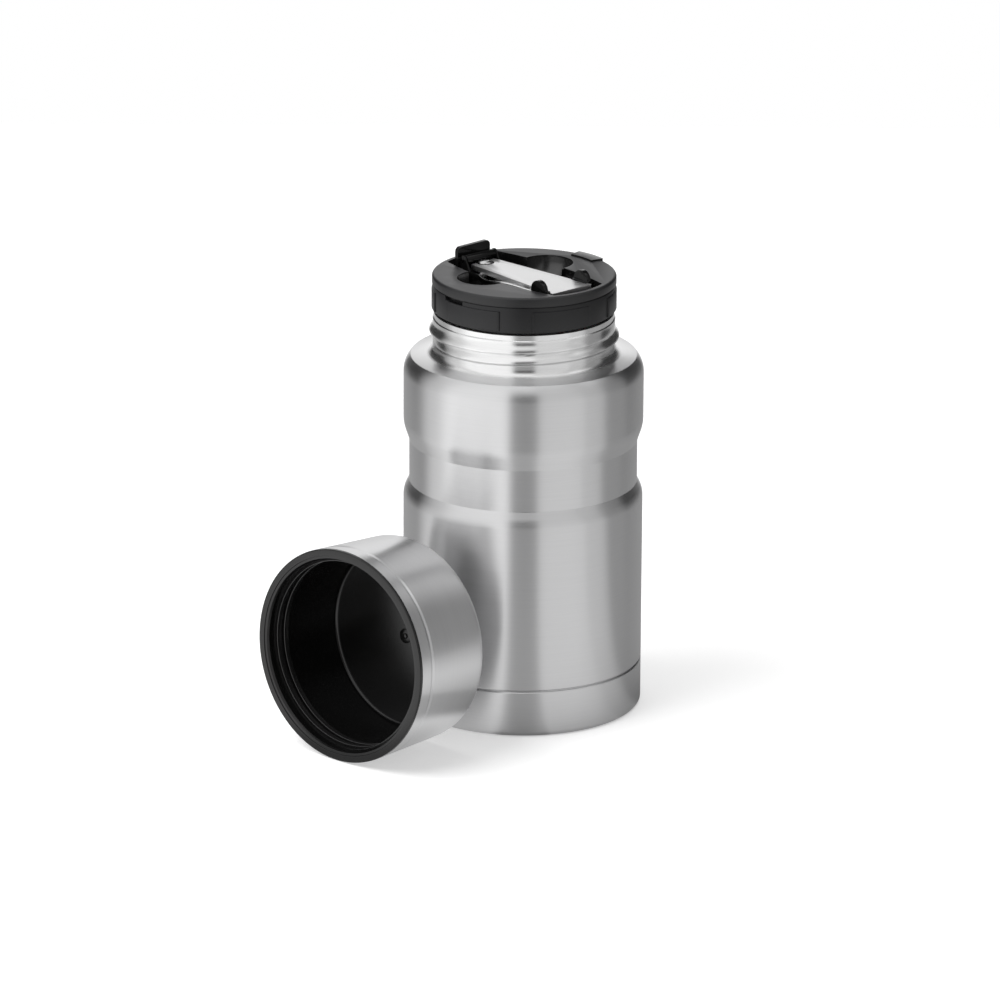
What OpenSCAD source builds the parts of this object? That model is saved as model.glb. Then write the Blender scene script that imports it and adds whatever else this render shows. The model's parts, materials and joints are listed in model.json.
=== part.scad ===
// Insulated food jar: a vacuum-walled steel jar, its quarter-turn stopper with a
// folding spoon lying in a recess, and its screw cap lying on its side beside it.
// Origin: centre of the jar's base on the table. +Z is up, sizes are millimetres.
// The stopper is drawn in a frame of its own: zero on the disc's top face, x along
// the spoon, from its hinge towards the handle's free end.
// The cap is drawn with its mouth at zero and its closed end up, then laid down.

/* [Jar body] */
// Outer diameter of the jar's two full bands
jar_d = 96; // [94:0.5:99]
// Height of the base cup, up to the seam line
base_h = 19; // [15:0.5:23]
// Height of the straight wall between the seam and the step in to the waist
lower_h = 70; // [50:1:90]
// Height of the step that leads in to the waist
step_h = 4.5; // [4:0.1:7]
// Height of the narrow waist
waist_h = 17.1; // [10:0.2:22]
// Depth of the waist below the full bands
waist_in = 2.3; // [1.6:0.1:2.6]
// Height of the slope that leads out to the upper band
rise_h = 6.8; // [5:0.2:10]
// Height of the upper band, up to the corner of its shoulder
upper_h = 24.8; // [20:0.5:34]
// Height of the shoulder's slope above that corner
shoulder_rise = 3.2; // [3:0.1:4]
// Rounding radius of the shoulder
shoulder_f = 10; // [6:0.5:10]
// Height of the neck above the cap's landing
neck_h = 16.6; // [16:0.2:19]

/* [Walls of the jar] */
// Wall of the outer shell
shell_t = 0.7; // [0.6:0.05:0.9]
// Wall of the inner liner
liner_t = 0.6; // [0.5:0.05:0.8]
// Wall of the base cup
base_t = 0.6; // [0.5:0.05:0.8]
// Vacuum gap between the liner and the waist's wall
vacuum_gap = 2.1; // [1.6:0.1:3]
// Height of the seam groove between shell and base cup
seam_h = 0.6; // [0.4:0.1:1]

/* [Mouth] */
// Outer diameter of the plain neck, at the roots of its thread
neck_d = 72.8; // [66:0.2:80]
// Width of the mouth's rim, from the neck's outside to the mouth
mouth_rim_w = 2.4; // [2.2:0.1:3]
// Pitch of the cap's thread
thread_pitch = 4.1; // [3.6:0.1:4.4]
// Height of the thread's ridge on the neck
thread_depth = 1.9; // [1.4:0.1:2]
// Turns of the thread on the neck
neck_turns = 1.45; // [1.15:0.1:1.65]
// Depth of the liner's pressed lugs that hold the stopper
lug_in = 1.1; // [0.9:0.1:1.2]

/* [Stopper] */
// How far the stopper's top disc stands out past the neck
disc_over = 0.3; // [0.1:0.1:0.8]
// Thickness of the top disc
disc_t = 3.6; // [3.2:0.1:4]
// Depth of the spoon's recess below the disc's top face
recess_deep = 11.3; // [11.2:0.1:13]
// Wall of the recess and of the stopper's skirt
tray_t = 1.5; // [1.2:0.1:1.6]
// Half width of the recess at its middle
recess_half_w = 16.6; // [16:0.2:18]
// Radius of the two finger hollows
hollow_r = 10.5; // [9:0.5:11]
// Height of the grip ring
ring_h = 10.2; // [9.6:0.2:11]
// Number of raised grip panels
panel_count = 6; // [4:1:8]
// Length of the plug below the neck's rim
plug_len = 27.2; // [24:0.5:34]
// Wall of the plug
plug_t = 2.6; // [2.4:0.1:3]
// Height of the gasket's section
gasket_h = 2.9; // [2.4:0.1:3.4]
// Width of the gasket's section
gasket_w = 2; // [1.8:0.1:2.1]

/* [Spoon] */
// Direction of the spoon in the stopper, from +X, in degrees
spoon_az = -48; // [-60:1:-30]
// Gap between the bowl's far end and the end of the recess
bowl_end_gap = 9.465; // [8.8:0.1:13]
// Width of the bowl over its rim
bowl_w = 25.6; // [23:0.2:26]
// Depth of the bowl below its rim
bowl_deep = 7.7; // [6.5:0.1:7.8]
// Sheet thickness of the bowl
bowl_t = 0.8; // [0.6:0.1:0.9]
// Gap between the handle's free end and the end of the recess
handle_end_gap = 6.165; // [4:0.1:9]
// Width of the handle at its free end
handle_end_w = 20.6; // [19:0.2:21]
// Width of the handle at the hinge
handle_hinge_w = 12.6; // [11.6:0.2:13.4]
// Depth of the handle's turned-down edges
flange_h = 2.2; // [1.8:0.1:2.2]
// Sheet thickness of the handle
handle_t = 1; // [0.7:0.1:1]
// Diameter of the hinge pin
pin_d = 2; // [1.6:0.1:2.2]
// Width of the thumb plate
plate_w = 15; // [14:0.2:15.2]
// Height of the thumb plate above the disc
plate_up = 6.2; // [5:0.1:6.4]

/* [Cap] */
// Width of the cap's lip, from bore to rim
cap_lip_w = 4.4; // [4.2:0.1:5]
// Length of the cap over all
cap_len = 41; // [40.8:0.2:46]
// Taper of the cap, from its rim's radius to its end's radius
cap_taper = 1.8; // [1:0.1:1.8]
// Sheet thickness of the cap's steel shell
cap_shell_t = 0.6; // [0.5:0.05:0.7]
// Wall of the cap's plastic liner
cap_wall = 1.4; // [1.2:0.1:1.5]
// Turns of the thread in the cap
cap_turns = 2.3; // [1.8:0.1:2.3]
// Direction in which the laid cap's closed end points, from +X, in degrees
cap_az = 49.1; // [44:0.5:55]
// Distance of the laid cap's rim from the jar's axis
cap_away = 103.7; // [102:0.5:120]
// Bearing of the laid cap's rim from the jar's axis, in degrees
cap_bearing = 225.9; // [222:0.5:230]

/* [Hidden] */

// Facets round a circle, steps of one rounded corner, and the overrun of a cut
round_fn = 96;
corner_steps = 8;
over = 1;

// Clearances: pressed or bonded fits, parts that move past each other, a pin in its bore
press_clear = 0.05;
move_clear = 0.3;
pin_clear = 0.05;

steel = [0.72, 0.72, 0.73];
dark_plastic = [0.13, 0.13, 0.14];

// Heights of the jar, worked up from the table
jar_r = jar_d / 2;
waist_r = jar_r - waist_in;
lower_top_z = base_h + lower_h;
waist_z = lower_top_z + step_h;
waist_top_z = waist_z + waist_h;
rise_top_z = waist_top_z + rise_h;
shoulder_z = rise_top_z + upper_h;
landing_z = shoulder_z + shoulder_rise;
// The cap's landing: how far its outer edge lies in from the band, and its slope
landing_in = 2.8;
landing_rise = 1.2;
neck_z = landing_z + landing_rise;
neck_top_z = neck_z + neck_h;
// Fillets of the jar's outline
lower_f = 10;
waist_f = 0.8;
rise_f = 14;
landing_f = 1.2;
neck_root_f = 2;
base_f = 2.2;
seam_f = 0.25;
// The plain collar above the thread and how far it steps in
collar_h = 2.4;
collar_in = 0.4;

neck_r = neck_d / 2;
mouth_r = neck_r - mouth_rim_w;
shell_foot_z = 9.5;
tuck_r = jar_r - base_t - press_clear;

// The liner and what lies in the vacuum
liner_r = waist_r - shell_t - vacuum_gap - liner_t;
liner_floor_up = 1.3;
liner_floor_z = base_h + liner_floor_up;
liner_floor_f = 14;
liner_shoulder_f = 8;
liner_neck_f = 4;
liner_shoulder_drop = 5.5;
liner_neck_drop = 4.5;
foil_t = 0.2;
foil_end_gap = 12;
bottom_t = 0.8;
bottom_flange_h = 3.4;
port_r = 2;
port_dish_r = 6;
port_dish_h = 1.6;
getter_r = 6.5;
getter_h = 2.2;
getter_x = 22;

// A thread's ridge as shares of its pitch and its height, from its lower to its upper root:
// rolled and round on the neck, moulded and narrow in the cap
round_ridge_shares = [for (k = [0 : 8]) [0.96 * (k / 8 - 0.5), (1 - cos(45 * k)) / 2]];
narrow_ridge_shares = [[-0.37, 0], [-0.1, 1], [0.1, 1], [0.37, 0]];
// How far a ridge is rooted in its wall, how deep its feet lie in it, its steps in a turn,
// the angle over which it runs out into the wall, and the share of its height that is
// left at the neck thread's upper end
ridge_rooted = 0.35;
ridge_sunk = 0.15;
ridge_steps = 40;
ridge_fade_deg = 40;
ridge_end_share = 0.6;
thread_start_drop = 10.6;
thread_start_deg = 190;
thread_crest_r = neck_r + thread_depth;

// The stopper, in its own frame and on the jar
rest_gap = 0.3;
flange_t = 2.5;
tray_floor_t = tray_t;
plug_top_z = neck_top_z + rest_gap + flange_t;
disc_z = plug_top_z + tray_floor_t + recess_deep;
disc_r = neck_r + disc_over;
disc_edge_f = 1.1;
groove_h = 0.6;
groove_in = 0.7;
ring_top = -disc_t - groove_h;
ring_over = 0.15;
ring_base_in = 0.15;
ring_wall = 1.8;
ring_in_r = disc_r - ring_wall;
spigot_r = ring_in_r - move_clear;
panel_share = 0.66;
panel_drop = 1.7;
panel_foot = 0.5;
panel_phase = -17.3;
window_deg = 17;
window_turn = -2.5;
window_h = 1.7;
tab_deg = 22;
tab_w = 5.4;
tab_up = 0.7;

// The recess: two flat arcs for its long sides, a round end, and the finger hollows
recess_rim_w = 2.4;
recess_end_r = disc_r - recess_rim_w;
recess_low_r = spigot_r - tray_t;
recess_side_r = 130;
hollow_x = -5.3;
hollow_rim_w = 7.1;
hollow_y = spigot_r - hollow_rim_w - hollow_r;

// The clips that hold the handle, placed from its free end
clip_from_end = 6.535;
clip_len = 7.8;
clip_t = 2;
clip_up = 3.7;
clip_foot = 0.95;
clip_foot_up = -0.2;

// The plug and its lugs
plug_clear = 0.4;
plug_r = mouth_r - lug_in - plug_clear;
lug_count = 3;
lug_deg = 24;
lug_h = 2.2;
liner_lug_drop = 12.4;
plug_in_r = plug_r - plug_t;
flange_r = ring_in_r - press_clear;
gasket_r = mouth_r - move_clear;
gasket_drop = 0.4;
foam_gap = 0.25;
cover_t = 2.4;
cover_spigot_h = 1.8;

// The spoon's heights below the disc's top face, and the places along it
handle_top = -0.6;
plate_t = 1.8;
pin_up = 0.8;
barrel_r = 1.9;
swing_clear = 0.4;
// The plate's inner face lies a little inside the barrel's round
plate_over = 0.2;
plate_in = barrel_r - plate_over;
swing_r = norm([plate_in + plate_t, plate_up - pin_up]) + swing_clear;
hinge_x = -(recess_end_r - swing_r - swing_clear);
strip_gap = 2.2;
strip_x = hinge_x + strip_gap;
handle_end_x = recess_end_r - handle_end_gap;
clip_x = handle_end_x - clip_from_end;
clip_clear = 0.35;
notch_in = 1;
tongue_t = 0.8;
tongue_len = 7.5;
tongue_w = 10;
rivet_in = 4.8;
rivet_r = 1.3;
rivet_head_r = 2.5;
rivet_head_h = 1.3;
rivet_tail_r = 1.8;
rivet_tail_h = 0.45;
plate_f = 2;
rim_top = handle_top - handle_t - tongue_t - rivet_tail_h - rest_gap;
fork_t = 0.9;
fork_in = plate_w / 2 + rest_gap;
fork_r = 2;
fork_len = 11.5;
fork_low = 1.6;
pin_half = fork_in + fork_t;
bowl_start_x = hinge_x + plate_in + plate_t + rest_gap * 2;
bowl_len = recess_end_r - bowl_end_gap - bowl_start_x;
bowl_x = bowl_start_x + bowl_len / 2;
bowl_rings = 9;
bowl_sides = 40;
bowl_flat_share = 0.72;
bowl_egg_share = 0.1;

// The cap
thread_clear = 0.4;
cap_bore_r = thread_crest_r + thread_clear;
cap_rim_r = cap_bore_r + cap_lip_w;
cap_end_r = cap_rim_r - cap_taper;
cap_tilt = atan(cap_taper / cap_len);
lip_t = 1.2;
lip_in = 0.15;
lip_chamfer = 0.7;
cap_end_f = 4.5;
cap_band_h = 7.2;
cap_groove_h = 0.5;
cap_groove_in = 0.25;
cap_draft = 1.2;
cap_floor_f = 2.6;
cap_end_t = 1;
cap_floor_z = cap_len - cap_shell_t - cap_end_t;
cap_thread_start = 3;
cap_thread_depth = 1.2;
nub_r = 1.1;
nub_h = 0.8;
nub_ring_r = 3;
nub_ring_h = 0.25;
cap_x = cap_away * cos(cap_bearing);
cap_y = cap_away * sin(cap_bearing);

function unit(v) = v / norm(v);
function left_of(v) = [-v[1], v[0]];
function turn(a, b) = a[0] * b[1] - a[1] * b[0];

// One corner b of an outline, between a and c, rounded by radius f
function corner(a, b, c, f) =
    let (p = unit(a - b), q = unit(c - b), open = acos(max(-1, min(1, p * q))))
    (f <= 0 || open > 179.9) ? [b] :
    let (half = open / 2, mid = b + unit(p + q) * f / sin(half), start = b + p * f / tan(half),
        from = atan2(start[1] - mid[1], start[0] - mid[0]),
        sweep = (turn(b - a, c - b) > 0 ? 1 : -1) * (180 - open))
    [for (i = [0 : corner_steps])
        mid + f * [cos(from + sweep * i / corner_steps), sin(from + sweep * i / corner_steps)]];

// An open line of [r, z, fillet] corners as points
function rounded(line) = [
    for (i = [0 : len(line) - 1])
        let (here = [line[i][0], line[i][1]])
        each (i == 0 || i == len(line) - 1) ? [here] :
            corner([line[i - 1][0], line[i - 1][1]], here,
                [line[i + 1][0], line[i + 1][1]], line[i][2])];

// The same line moved to its left by d, with its fillets kept concentric
function moved(line, d) = [
    for (i = [0 : len(line) - 1])
        let (here = [line[i][0], line[i][1]],
            into = i == 0 ? [0, 0] : unit(here - [line[i - 1][0], line[i - 1][1]]),
            out = i == len(line) - 1 ? [0, 0] : unit([line[i + 1][0], line[i + 1][1]] - here),
            a = left_of(i == 0 ? out : into), b = left_of(i == len(line) - 1 ? into : out),
            point = here + (a + b) * d / (1 + a * b),
            f = line[i][2] - sign(turn(into, out)) * d)
        [point[0], point[1], line[i][2] <= 0 ? 0 : max(f, 0)]];

function reversed(list) = [for (i = [len(list) - 1 : -1 : 0]) list[i]];

// A turned sheet wall: a line and the same line moved to its left by the wall
module turned_wall(line, wall) {
    rotate_extrude($fn = round_fn)
        polygon(concat(rounded(line), reversed(rounded(moved(line, wall)))));
}

// A sector of a ring
module ring_sector(r_in, r_out, z, h, mid_deg, deg) {
    translate([0, 0, z]) rotate([0, 0, mid_deg - deg / 2])
        rotate_extrude(angle = deg, $fn = round_fn)
            translate([r_in, 0]) square([r_out - r_in, h]);
}

// A helical ridge on a wall of radius r, standing depth proud of it, inwards if negative
module ridge(r, depth, turns, z, shares, last_share) {
    side = sign(depth);
    steps = round(turns * ridge_steps);
    last_point = shares[len(shares) - 1];
    section = [for (i = [0 : steps])
        let (at = i / ridge_steps * 360, all = steps / ridge_steps * 360,
            fade = min(1, at / ridge_fade_deg, (all - at) / ridge_fade_deg),
            tall = depth * (1 + (last_share - 1) * i / steps) * fade,
            up = z + thread_pitch * i / ridge_steps,
            inner = r - side * ridge_rooted,
            foot = r - side * ridge_sunk * (2 - fade))
        each concat(
            [[inner * cos(at), inner * sin(at), up + shares[0][0] * thread_pitch]],
            [for (p = shares) let (out = foot + (tall + side * ridge_sunk * fade) * p[1])
                [out * cos(at), out * sin(at), up + p[0] * thread_pitch]],
            [[inner * cos(at), inner * sin(at), up + last_point[0] * thread_pitch]])];
    n = len(shares) + 2;
    quads = [for (i = [0 : steps - 1]) for (k = [0 : n - 1])
        [i * n + k, i * n + (k + 1) % n, (i + 1) * n + (k + 1) % n, (i + 1) * n + k]];
    tris = [for (q = quads) each [[q[0], q[1], q[2]], [q[0], q[2], q[3]]]];
    first = [for (k = [1 : n - 2]) [0, k + 1, k]];
    last = [for (k = [1 : n - 2]) [steps * n, steps * n + k, steps * n + k + 1]];
    faces = concat(tris, first, last);
    polyhedron(section, side > 0 ? faces : [for (f = faces) reversed(f)]);
}

// The outside of the shell, from its foot inside the base cup up to the neck's rim
shell_line = [
    [tuck_r, shell_foot_z, 0],
    [tuck_r, base_h + seam_h / 2, seam_f],
    [jar_r, base_h + seam_h / 2, seam_f],
    [jar_r, lower_top_z, lower_f],
    [waist_r, waist_z, waist_f],
    [waist_r, waist_top_z, waist_f],
    [jar_r, rise_top_z, rise_f],
    [jar_r, shoulder_z, shoulder_f],
    [jar_r - landing_in, landing_z, landing_f],
    [neck_r, neck_z, neck_root_f],
    [neck_r, neck_top_z - collar_h, 0],
    [neck_r - collar_in, neck_top_z - collar_h + collar_in, 0],
    [neck_r - collar_in, neck_top_z, 0]];

module outer_shell() {
    color(steel) {
        turned_wall(shell_line, shell_t);
        rotate([0, 0, thread_start_deg]) ridge(neck_r, thread_depth, neck_turns,
            neck_top_z - thread_start_drop, round_ridge_shares, ridge_end_share);
    }
}

// The liner's inside, from the middle of its floor up to the mouth
liner_line = [
    [0, liner_floor_z, 0],
    [liner_r, liner_floor_z, liner_floor_f],
    [liner_r, neck_z - liner_shoulder_drop - liner_neck_drop, liner_shoulder_f],
    [mouth_r, neck_z - liner_neck_drop, liner_neck_f],
    [mouth_r, neck_top_z, 0]];
lip_r = neck_r - collar_in - shell_t - press_clear;
liner_lug_z = neck_top_z - liner_lug_drop;

module inner_liner() {
    color(steel) {
        turned_wall(liner_line, -liner_t);
        // The rim, turned out to be welded to the shell's neck
        translate([0, 0, neck_top_z - liner_t]) rotate_extrude($fn = round_fn)
            translate([mouth_r, 0]) square([lip_r - mouth_r, liner_t]);
        for (i = [0 : lug_count - 1])
            ring_sector(mouth_r - lug_in, mouth_r + liner_t / 2, liner_lug_z, lug_h,
                i * 360 / lug_count, lug_deg);
    }
}

module reflector_foil() {
    low = liner_floor_z + foil_end_gap;
    high = neck_z - liner_shoulder_drop - liner_neck_drop - foil_end_gap / 2;
    inside = liner_r + liner_t + move_clear;
    color([0.8, 0.5, 0.32]) translate([0, 0, low]) difference() {
        cylinder(h = high - low, r = inside + foil_t, $fn = round_fn);
        translate([0, 0, -over]) cylinder(h = high - low + over * 2, r = inside, $fn = round_fn);
    }
}

bottom_r = tuck_r - shell_t - press_clear;
bottom_top_z = shell_foot_z + bottom_flange_h;

module outer_bottom() {
    color(steel) rotate_extrude($fn = round_fn) polygon([
        [port_r, bottom_top_z - bottom_t - port_dish_h],
        [port_dish_r, bottom_top_z - bottom_t - port_dish_h],
        [port_dish_r + bottom_t, bottom_top_z - bottom_t],
        [bottom_r - bottom_t, bottom_top_z - bottom_t],
        [bottom_r - bottom_t, shell_foot_z],
        [bottom_r, shell_foot_z],
        [bottom_r, bottom_top_z],
        [port_dish_r, bottom_top_z],
        [port_dish_r - bottom_t, bottom_top_z - port_dish_h],
        [port_r, bottom_top_z - port_dish_h]]);
}

module vacuum_seal() {
    seat = bottom_top_z - bottom_t - port_dish_h;
    color([0.45, 0.45, 0.42]) {
        translate([0, 0, seat - bottom_t]) cylinder(h = bottom_t, r = port_r * 2, $fn = round_fn);
        translate([0, 0, seat - bottom_t])
            cylinder(h = bottom_t * 2, r = port_r - press_clear, $fn = round_fn);
    }
}

module getter() {
    color([0.5, 0.48, 0.45]) translate([getter_x, 0, bottom_top_z])
        cylinder(h = getter_h, r = getter_r, $fn = round_fn);
}

module base_cup() {
    color(steel) turned_wall([
        [0, 0, 0],
        [jar_r, 0, base_f],
        [jar_r, base_h - seam_h / 2, 0]], base_t);
}

// Puts what is drawn in the stopper's frame in its place on the jar
module at_stopper() {
    translate([0, 0, disc_z]) rotate([0, 0, spoon_az]) children();
}

// Outline of the recess, grown by a wall
module recess_outline(end_r, grow) {
    intersection() {
        circle(r = end_r + grow, $fn = round_fn);
        translate([0, recess_side_r - recess_half_w])
            circle(r = recess_side_r + grow, $fn = round_fn * 2);
        translate([0, recess_half_w - recess_side_r])
            circle(r = recess_side_r + grow, $fn = round_fn * 2);
    }
    for (side = [-1, 1]) translate([hollow_x, side * hollow_y])
        circle(r = hollow_r + grow, $fn = round_fn);
}

clip_foot_in = handle_half(clip_x + clip_len / 2) - notch_in + clip_clear;
clip_in = clip_foot_in + clip_foot;
function handle_half(x) = (handle_hinge_w + (handle_end_w - handle_hinge_w)
    * (x - strip_x) / (handle_end_x - strip_x)) / 2;

// One clip: a round-topped ear, and a foot that reaches in to the handle's notch
module clip(side) {
    top_r = clip_len / 2;
    low = -recess_deep - tray_floor_t / 2;
    translate([clip_x, side > 0 ? clip_in + clip_t : -clip_in, 0]) rotate([90, 0, 0])
        linear_extrude(height = clip_t) {
            translate([0, clip_up - top_r]) circle(r = top_r, $fn = round_fn);
            translate([-top_r, low]) square([clip_len, clip_up - top_r - low]);
        }
    translate([clip_x - top_r, side > 0 ? clip_foot_in : -clip_in - clip_t / 2, low])
        cube([clip_len, clip_foot + clip_t / 2, clip_foot_up - low]);
}

module stopper_top() {
    color(dark_plastic) at_stopper() {
        difference() {
            union() {
                rotate_extrude($fn = round_fn) polygon(concat(
                    [[0, ring_top], [disc_r - groove_in, ring_top], [disc_r - groove_in, -disc_t]],
                    rounded([[disc_r, -disc_t, 0], [disc_r, 0, disc_edge_f], [0, 0, 0]])));
                translate([0, 0, -recess_deep - tray_floor_t])
                    linear_extrude(height = recess_deep + tray_floor_t + ring_top + over)
                        recess_outline(recess_low_r, tray_t);
                translate([0, 0, -recess_deep - tray_floor_t]) difference() {
                    cylinder(h = recess_deep + tray_floor_t + ring_top + over, r = spigot_r,
                        $fn = round_fn);
                    translate([0, 0, -over])
                        cylinder(h = recess_deep + tray_floor_t + ring_top + over,
                            r = spigot_r - tray_t, $fn = round_fn);
                }
                // The tab on the disc's rim
                ring_sector(disc_r - tab_w, disc_r, -disc_t, disc_t + tab_up, 90, tab_deg);
            }
            translate([0, 0, ring_top]) linear_extrude(height = over - ring_top)
                recess_outline(recess_end_r, 0);
            translate([0, 0, -recess_deep]) linear_extrude(height = recess_deep + over)
                recess_outline(recess_low_r, 0);
        }
        clip(1);
        clip(-1);
    }
}

module grip_ring() {
    low = ring_top - ring_h;
    base_r = disc_r - ring_base_in;
    color(dark_plastic) at_stopper() difference() {
        union() {
            translate([0, 0, low]) cylinder(h = ring_h, r = base_r, $fn = round_fn);
            for (i = [0 : panel_count - 1])
                ring_sector(ring_in_r + move_clear, disc_r + ring_over, low + panel_foot,
                    ring_h - panel_drop - panel_foot,
                    panel_phase + i * 360 / panel_count, panel_share * 360 / panel_count);
        }
        translate([0, 0, low - over])
            cylinder(h = ring_h + over * 2, r = ring_in_r, $fn = round_fn);
        for (side = [-1, 1])
            ring_sector(ring_in_r - over, disc_r + over, ring_top - window_h, window_h + over,
                side * 90 + window_turn, window_deg);
    }
}

groove_low_z = neck_top_z - gasket_drop - gasket_h - move_clear;
groove_r = gasket_r - gasket_w - move_clear;
plug_low_z = neck_top_z - plug_len;
plug_lug_z = liner_lug_z - move_clear - lug_h;

module stopper_plug() {
    color([0.2, 0.2, 0.21]) rotate([0, 0, spoon_az]) {
        rotate_extrude($fn = round_fn) polygon([
            [plug_in_r, plug_low_z],
            [plug_r, plug_low_z],
            [plug_r, groove_low_z],
            [groove_r, groove_low_z],
            [groove_r, neck_top_z - gasket_drop + move_clear],
            [plug_r, neck_top_z - gasket_drop + move_clear],
            [plug_r, neck_top_z + rest_gap],
            [flange_r, neck_top_z + rest_gap],
            [flange_r, plug_top_z],
            [plug_in_r, plug_top_z]]);
    }
    color([0.2, 0.2, 0.21]) for (i = [0 : lug_count - 1])
        ring_sector(plug_r - plug_t / 2, mouth_r - move_clear, plug_lug_z, lug_h,
            (i + 1 / 2) * 360 / lug_count, lug_deg);
}

module stopper_insulation() {
    low = plug_low_z + cover_spigot_h + foam_gap;
    color([0.93, 0.9, 0.82]) translate([0, 0, low])
        cylinder(h = plug_top_z - foam_gap - low, r = plug_in_r - foam_gap, $fn = round_fn);
}

module stopper_bottom_cover() {
    color([0.2, 0.2, 0.21]) {
        translate([0, 0, plug_low_z]) cylinder(h = cover_spigot_h,
            r = plug_in_r - press_clear, $fn = round_fn);
        translate([0, 0, plug_low_z - cover_t]) rotate_extrude($fn = round_fn)
            polygon(concat([[0, 0]],
                rounded([[0, 0, 0], [plug_r, 0, cover_t / 2], [plug_r, cover_t, 0]]),
                [[0, cover_t]]));
    }
}

module stopper_gasket() {
    section = gasket_h / 4;
    color([0.75, 0.75, 0.74]) translate([0, 0, neck_top_z - gasket_drop - gasket_h])
        rotate_extrude($fn = round_fn) polygon(rounded([
            [gasket_r - gasket_w, 0, 0],
            [gasket_r, 0, section],
            [gasket_r, gasket_h, section],
            [gasket_r - gasket_w, gasket_h, 0]]));
}

// One ring of the bowl: half length a, half width b, at height h, sized by share
function bowl_ring(a, b, share, h) = [for (j = [0 : bowl_sides - 1])
    let (at = j * 360 / bowl_sides)
    [bowl_x + a * share * cos(at),
        b * share * sin(at) * (1 - bowl_egg_share * cos(at)), h]];
// The bowl's surface, from its rim to the last ring above its lowest point
function bowl_skin(a, b, deep) = [for (i = [0 : bowl_rings - 1])
    let (t = 90 * i / bowl_rings)
    each bowl_ring(a, b, pow(cos(t), bowl_flat_share), rim_top - deep * sin(t))];

module bowl_sheet() {
    a = bowl_len / 2;
    b = bowl_w / 2;
    n = bowl_sides;
    skin = bowl_rings * n;
    points = concat(bowl_skin(a, b, bowl_deep), [[bowl_x, 0, rim_top - bowl_deep]],
        bowl_skin(a - bowl_t, b - bowl_t, bowl_deep - bowl_t),
        [[bowl_x, 0, rim_top - bowl_deep + bowl_t]]);
    function band(start, flip) = [for (i = [0 : bowl_rings - 2]) for (j = [0 : n - 1])
        let (p = start + i * n + j, q = start + i * n + (j + 1) % n, r = q + n, s = p + n)
        each flip ? [[p, r, q], [p, s, r]] : [[p, q, r], [p, r, s]]];
    function pole(start, flip) = [for (j = [0 : n - 1])
        let (p = start + (bowl_rings - 1) * n + j, q = start + (bowl_rings - 1) * n + (j + 1) % n)
        flip ? [q, p, start + skin] : [p, q, start + skin]];
    rim = [for (j = [0 : n - 1])
        let (p = j, q = (j + 1) % n, r = skin + 1 + (j + 1) % n, s = skin + 1 + j)
        each [[p, r, q], [p, s, r]]];
    polyhedron(points, concat(band(0, false), pole(0, false),
        band(skin + 1, true), pole(skin + 1, true), rim));
}

module spoon_bowl() {
    color(steel) at_stopper() {
        bowl_sheet();
        for (side = [-1, 1])
            translate([0, side > 0 ? fork_in + fork_t : -fork_in, 0]) rotate([90, 0, 0])
                difference() {
                    linear_extrude(height = fork_t) {
                        translate([hinge_x, pin_up]) circle(r = fork_r, $fn = round_fn);
                        polygon([
                            [hinge_x - fork_r, pin_up],
                            [hinge_x - fork_r / 2, rim_top - fork_low / 2],
                            [hinge_x + fork_r, rim_top - fork_low],
                            [hinge_x + fork_len, rim_top - fork_low],
                            [hinge_x + fork_len, rim_top],
                            [hinge_x + fork_r * 2, rim_top],
                            [hinge_x + fork_r, pin_up]]);
                    }
                    translate([hinge_x, pin_up, -over])
                        cylinder(h = fork_t + over * 2, r = pin_d / 2 + pin_clear, $fn = round_fn);
                }
    }
}

// The handle's outline, drawn in by the sheet's thickness for its hollow
module handle_outline(in) {
    notch_from = clip_x - clip_len / 2 - clip_clear * 1.5;
    notch_to = clip_x + clip_len / 2 + clip_clear * 1.5;
    notch_half = handle_half(clip_x + clip_len / 2) - notch_in - in;
    start_x = in > 0 ? strip_x - over : strip_x;
    end_x = handle_end_x - in;
    half_side = [
        [start_x, handle_half(start_x) - in],
        [notch_from + in, handle_half(notch_from) - in],
        [notch_from + in, notch_half],
        [notch_to - in, notch_half],
        [notch_to - in, handle_half(notch_to) - in],
        [end_x, handle_half(end_x) - in]];
    polygon(concat(half_side, [for (p = reversed(half_side)) [p[0], -p[1]]]));
}

module spoon_handle() {
    low = handle_top - flange_h;
    rivet_x = strip_x + rivet_in / 2;
    color(steel) at_stopper() difference() {
        translate([0, 0, low]) linear_extrude(height = flange_h) handle_outline(0);
        translate([0, 0, low - over])
            linear_extrude(height = flange_h - handle_t + over) handle_outline(handle_t);
        translate([rivet_x, 0, low - over])
            cylinder(h = flange_h + over * 2, r = rivet_r + press_clear / 2, $fn = round_fn);
    }
}

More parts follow.
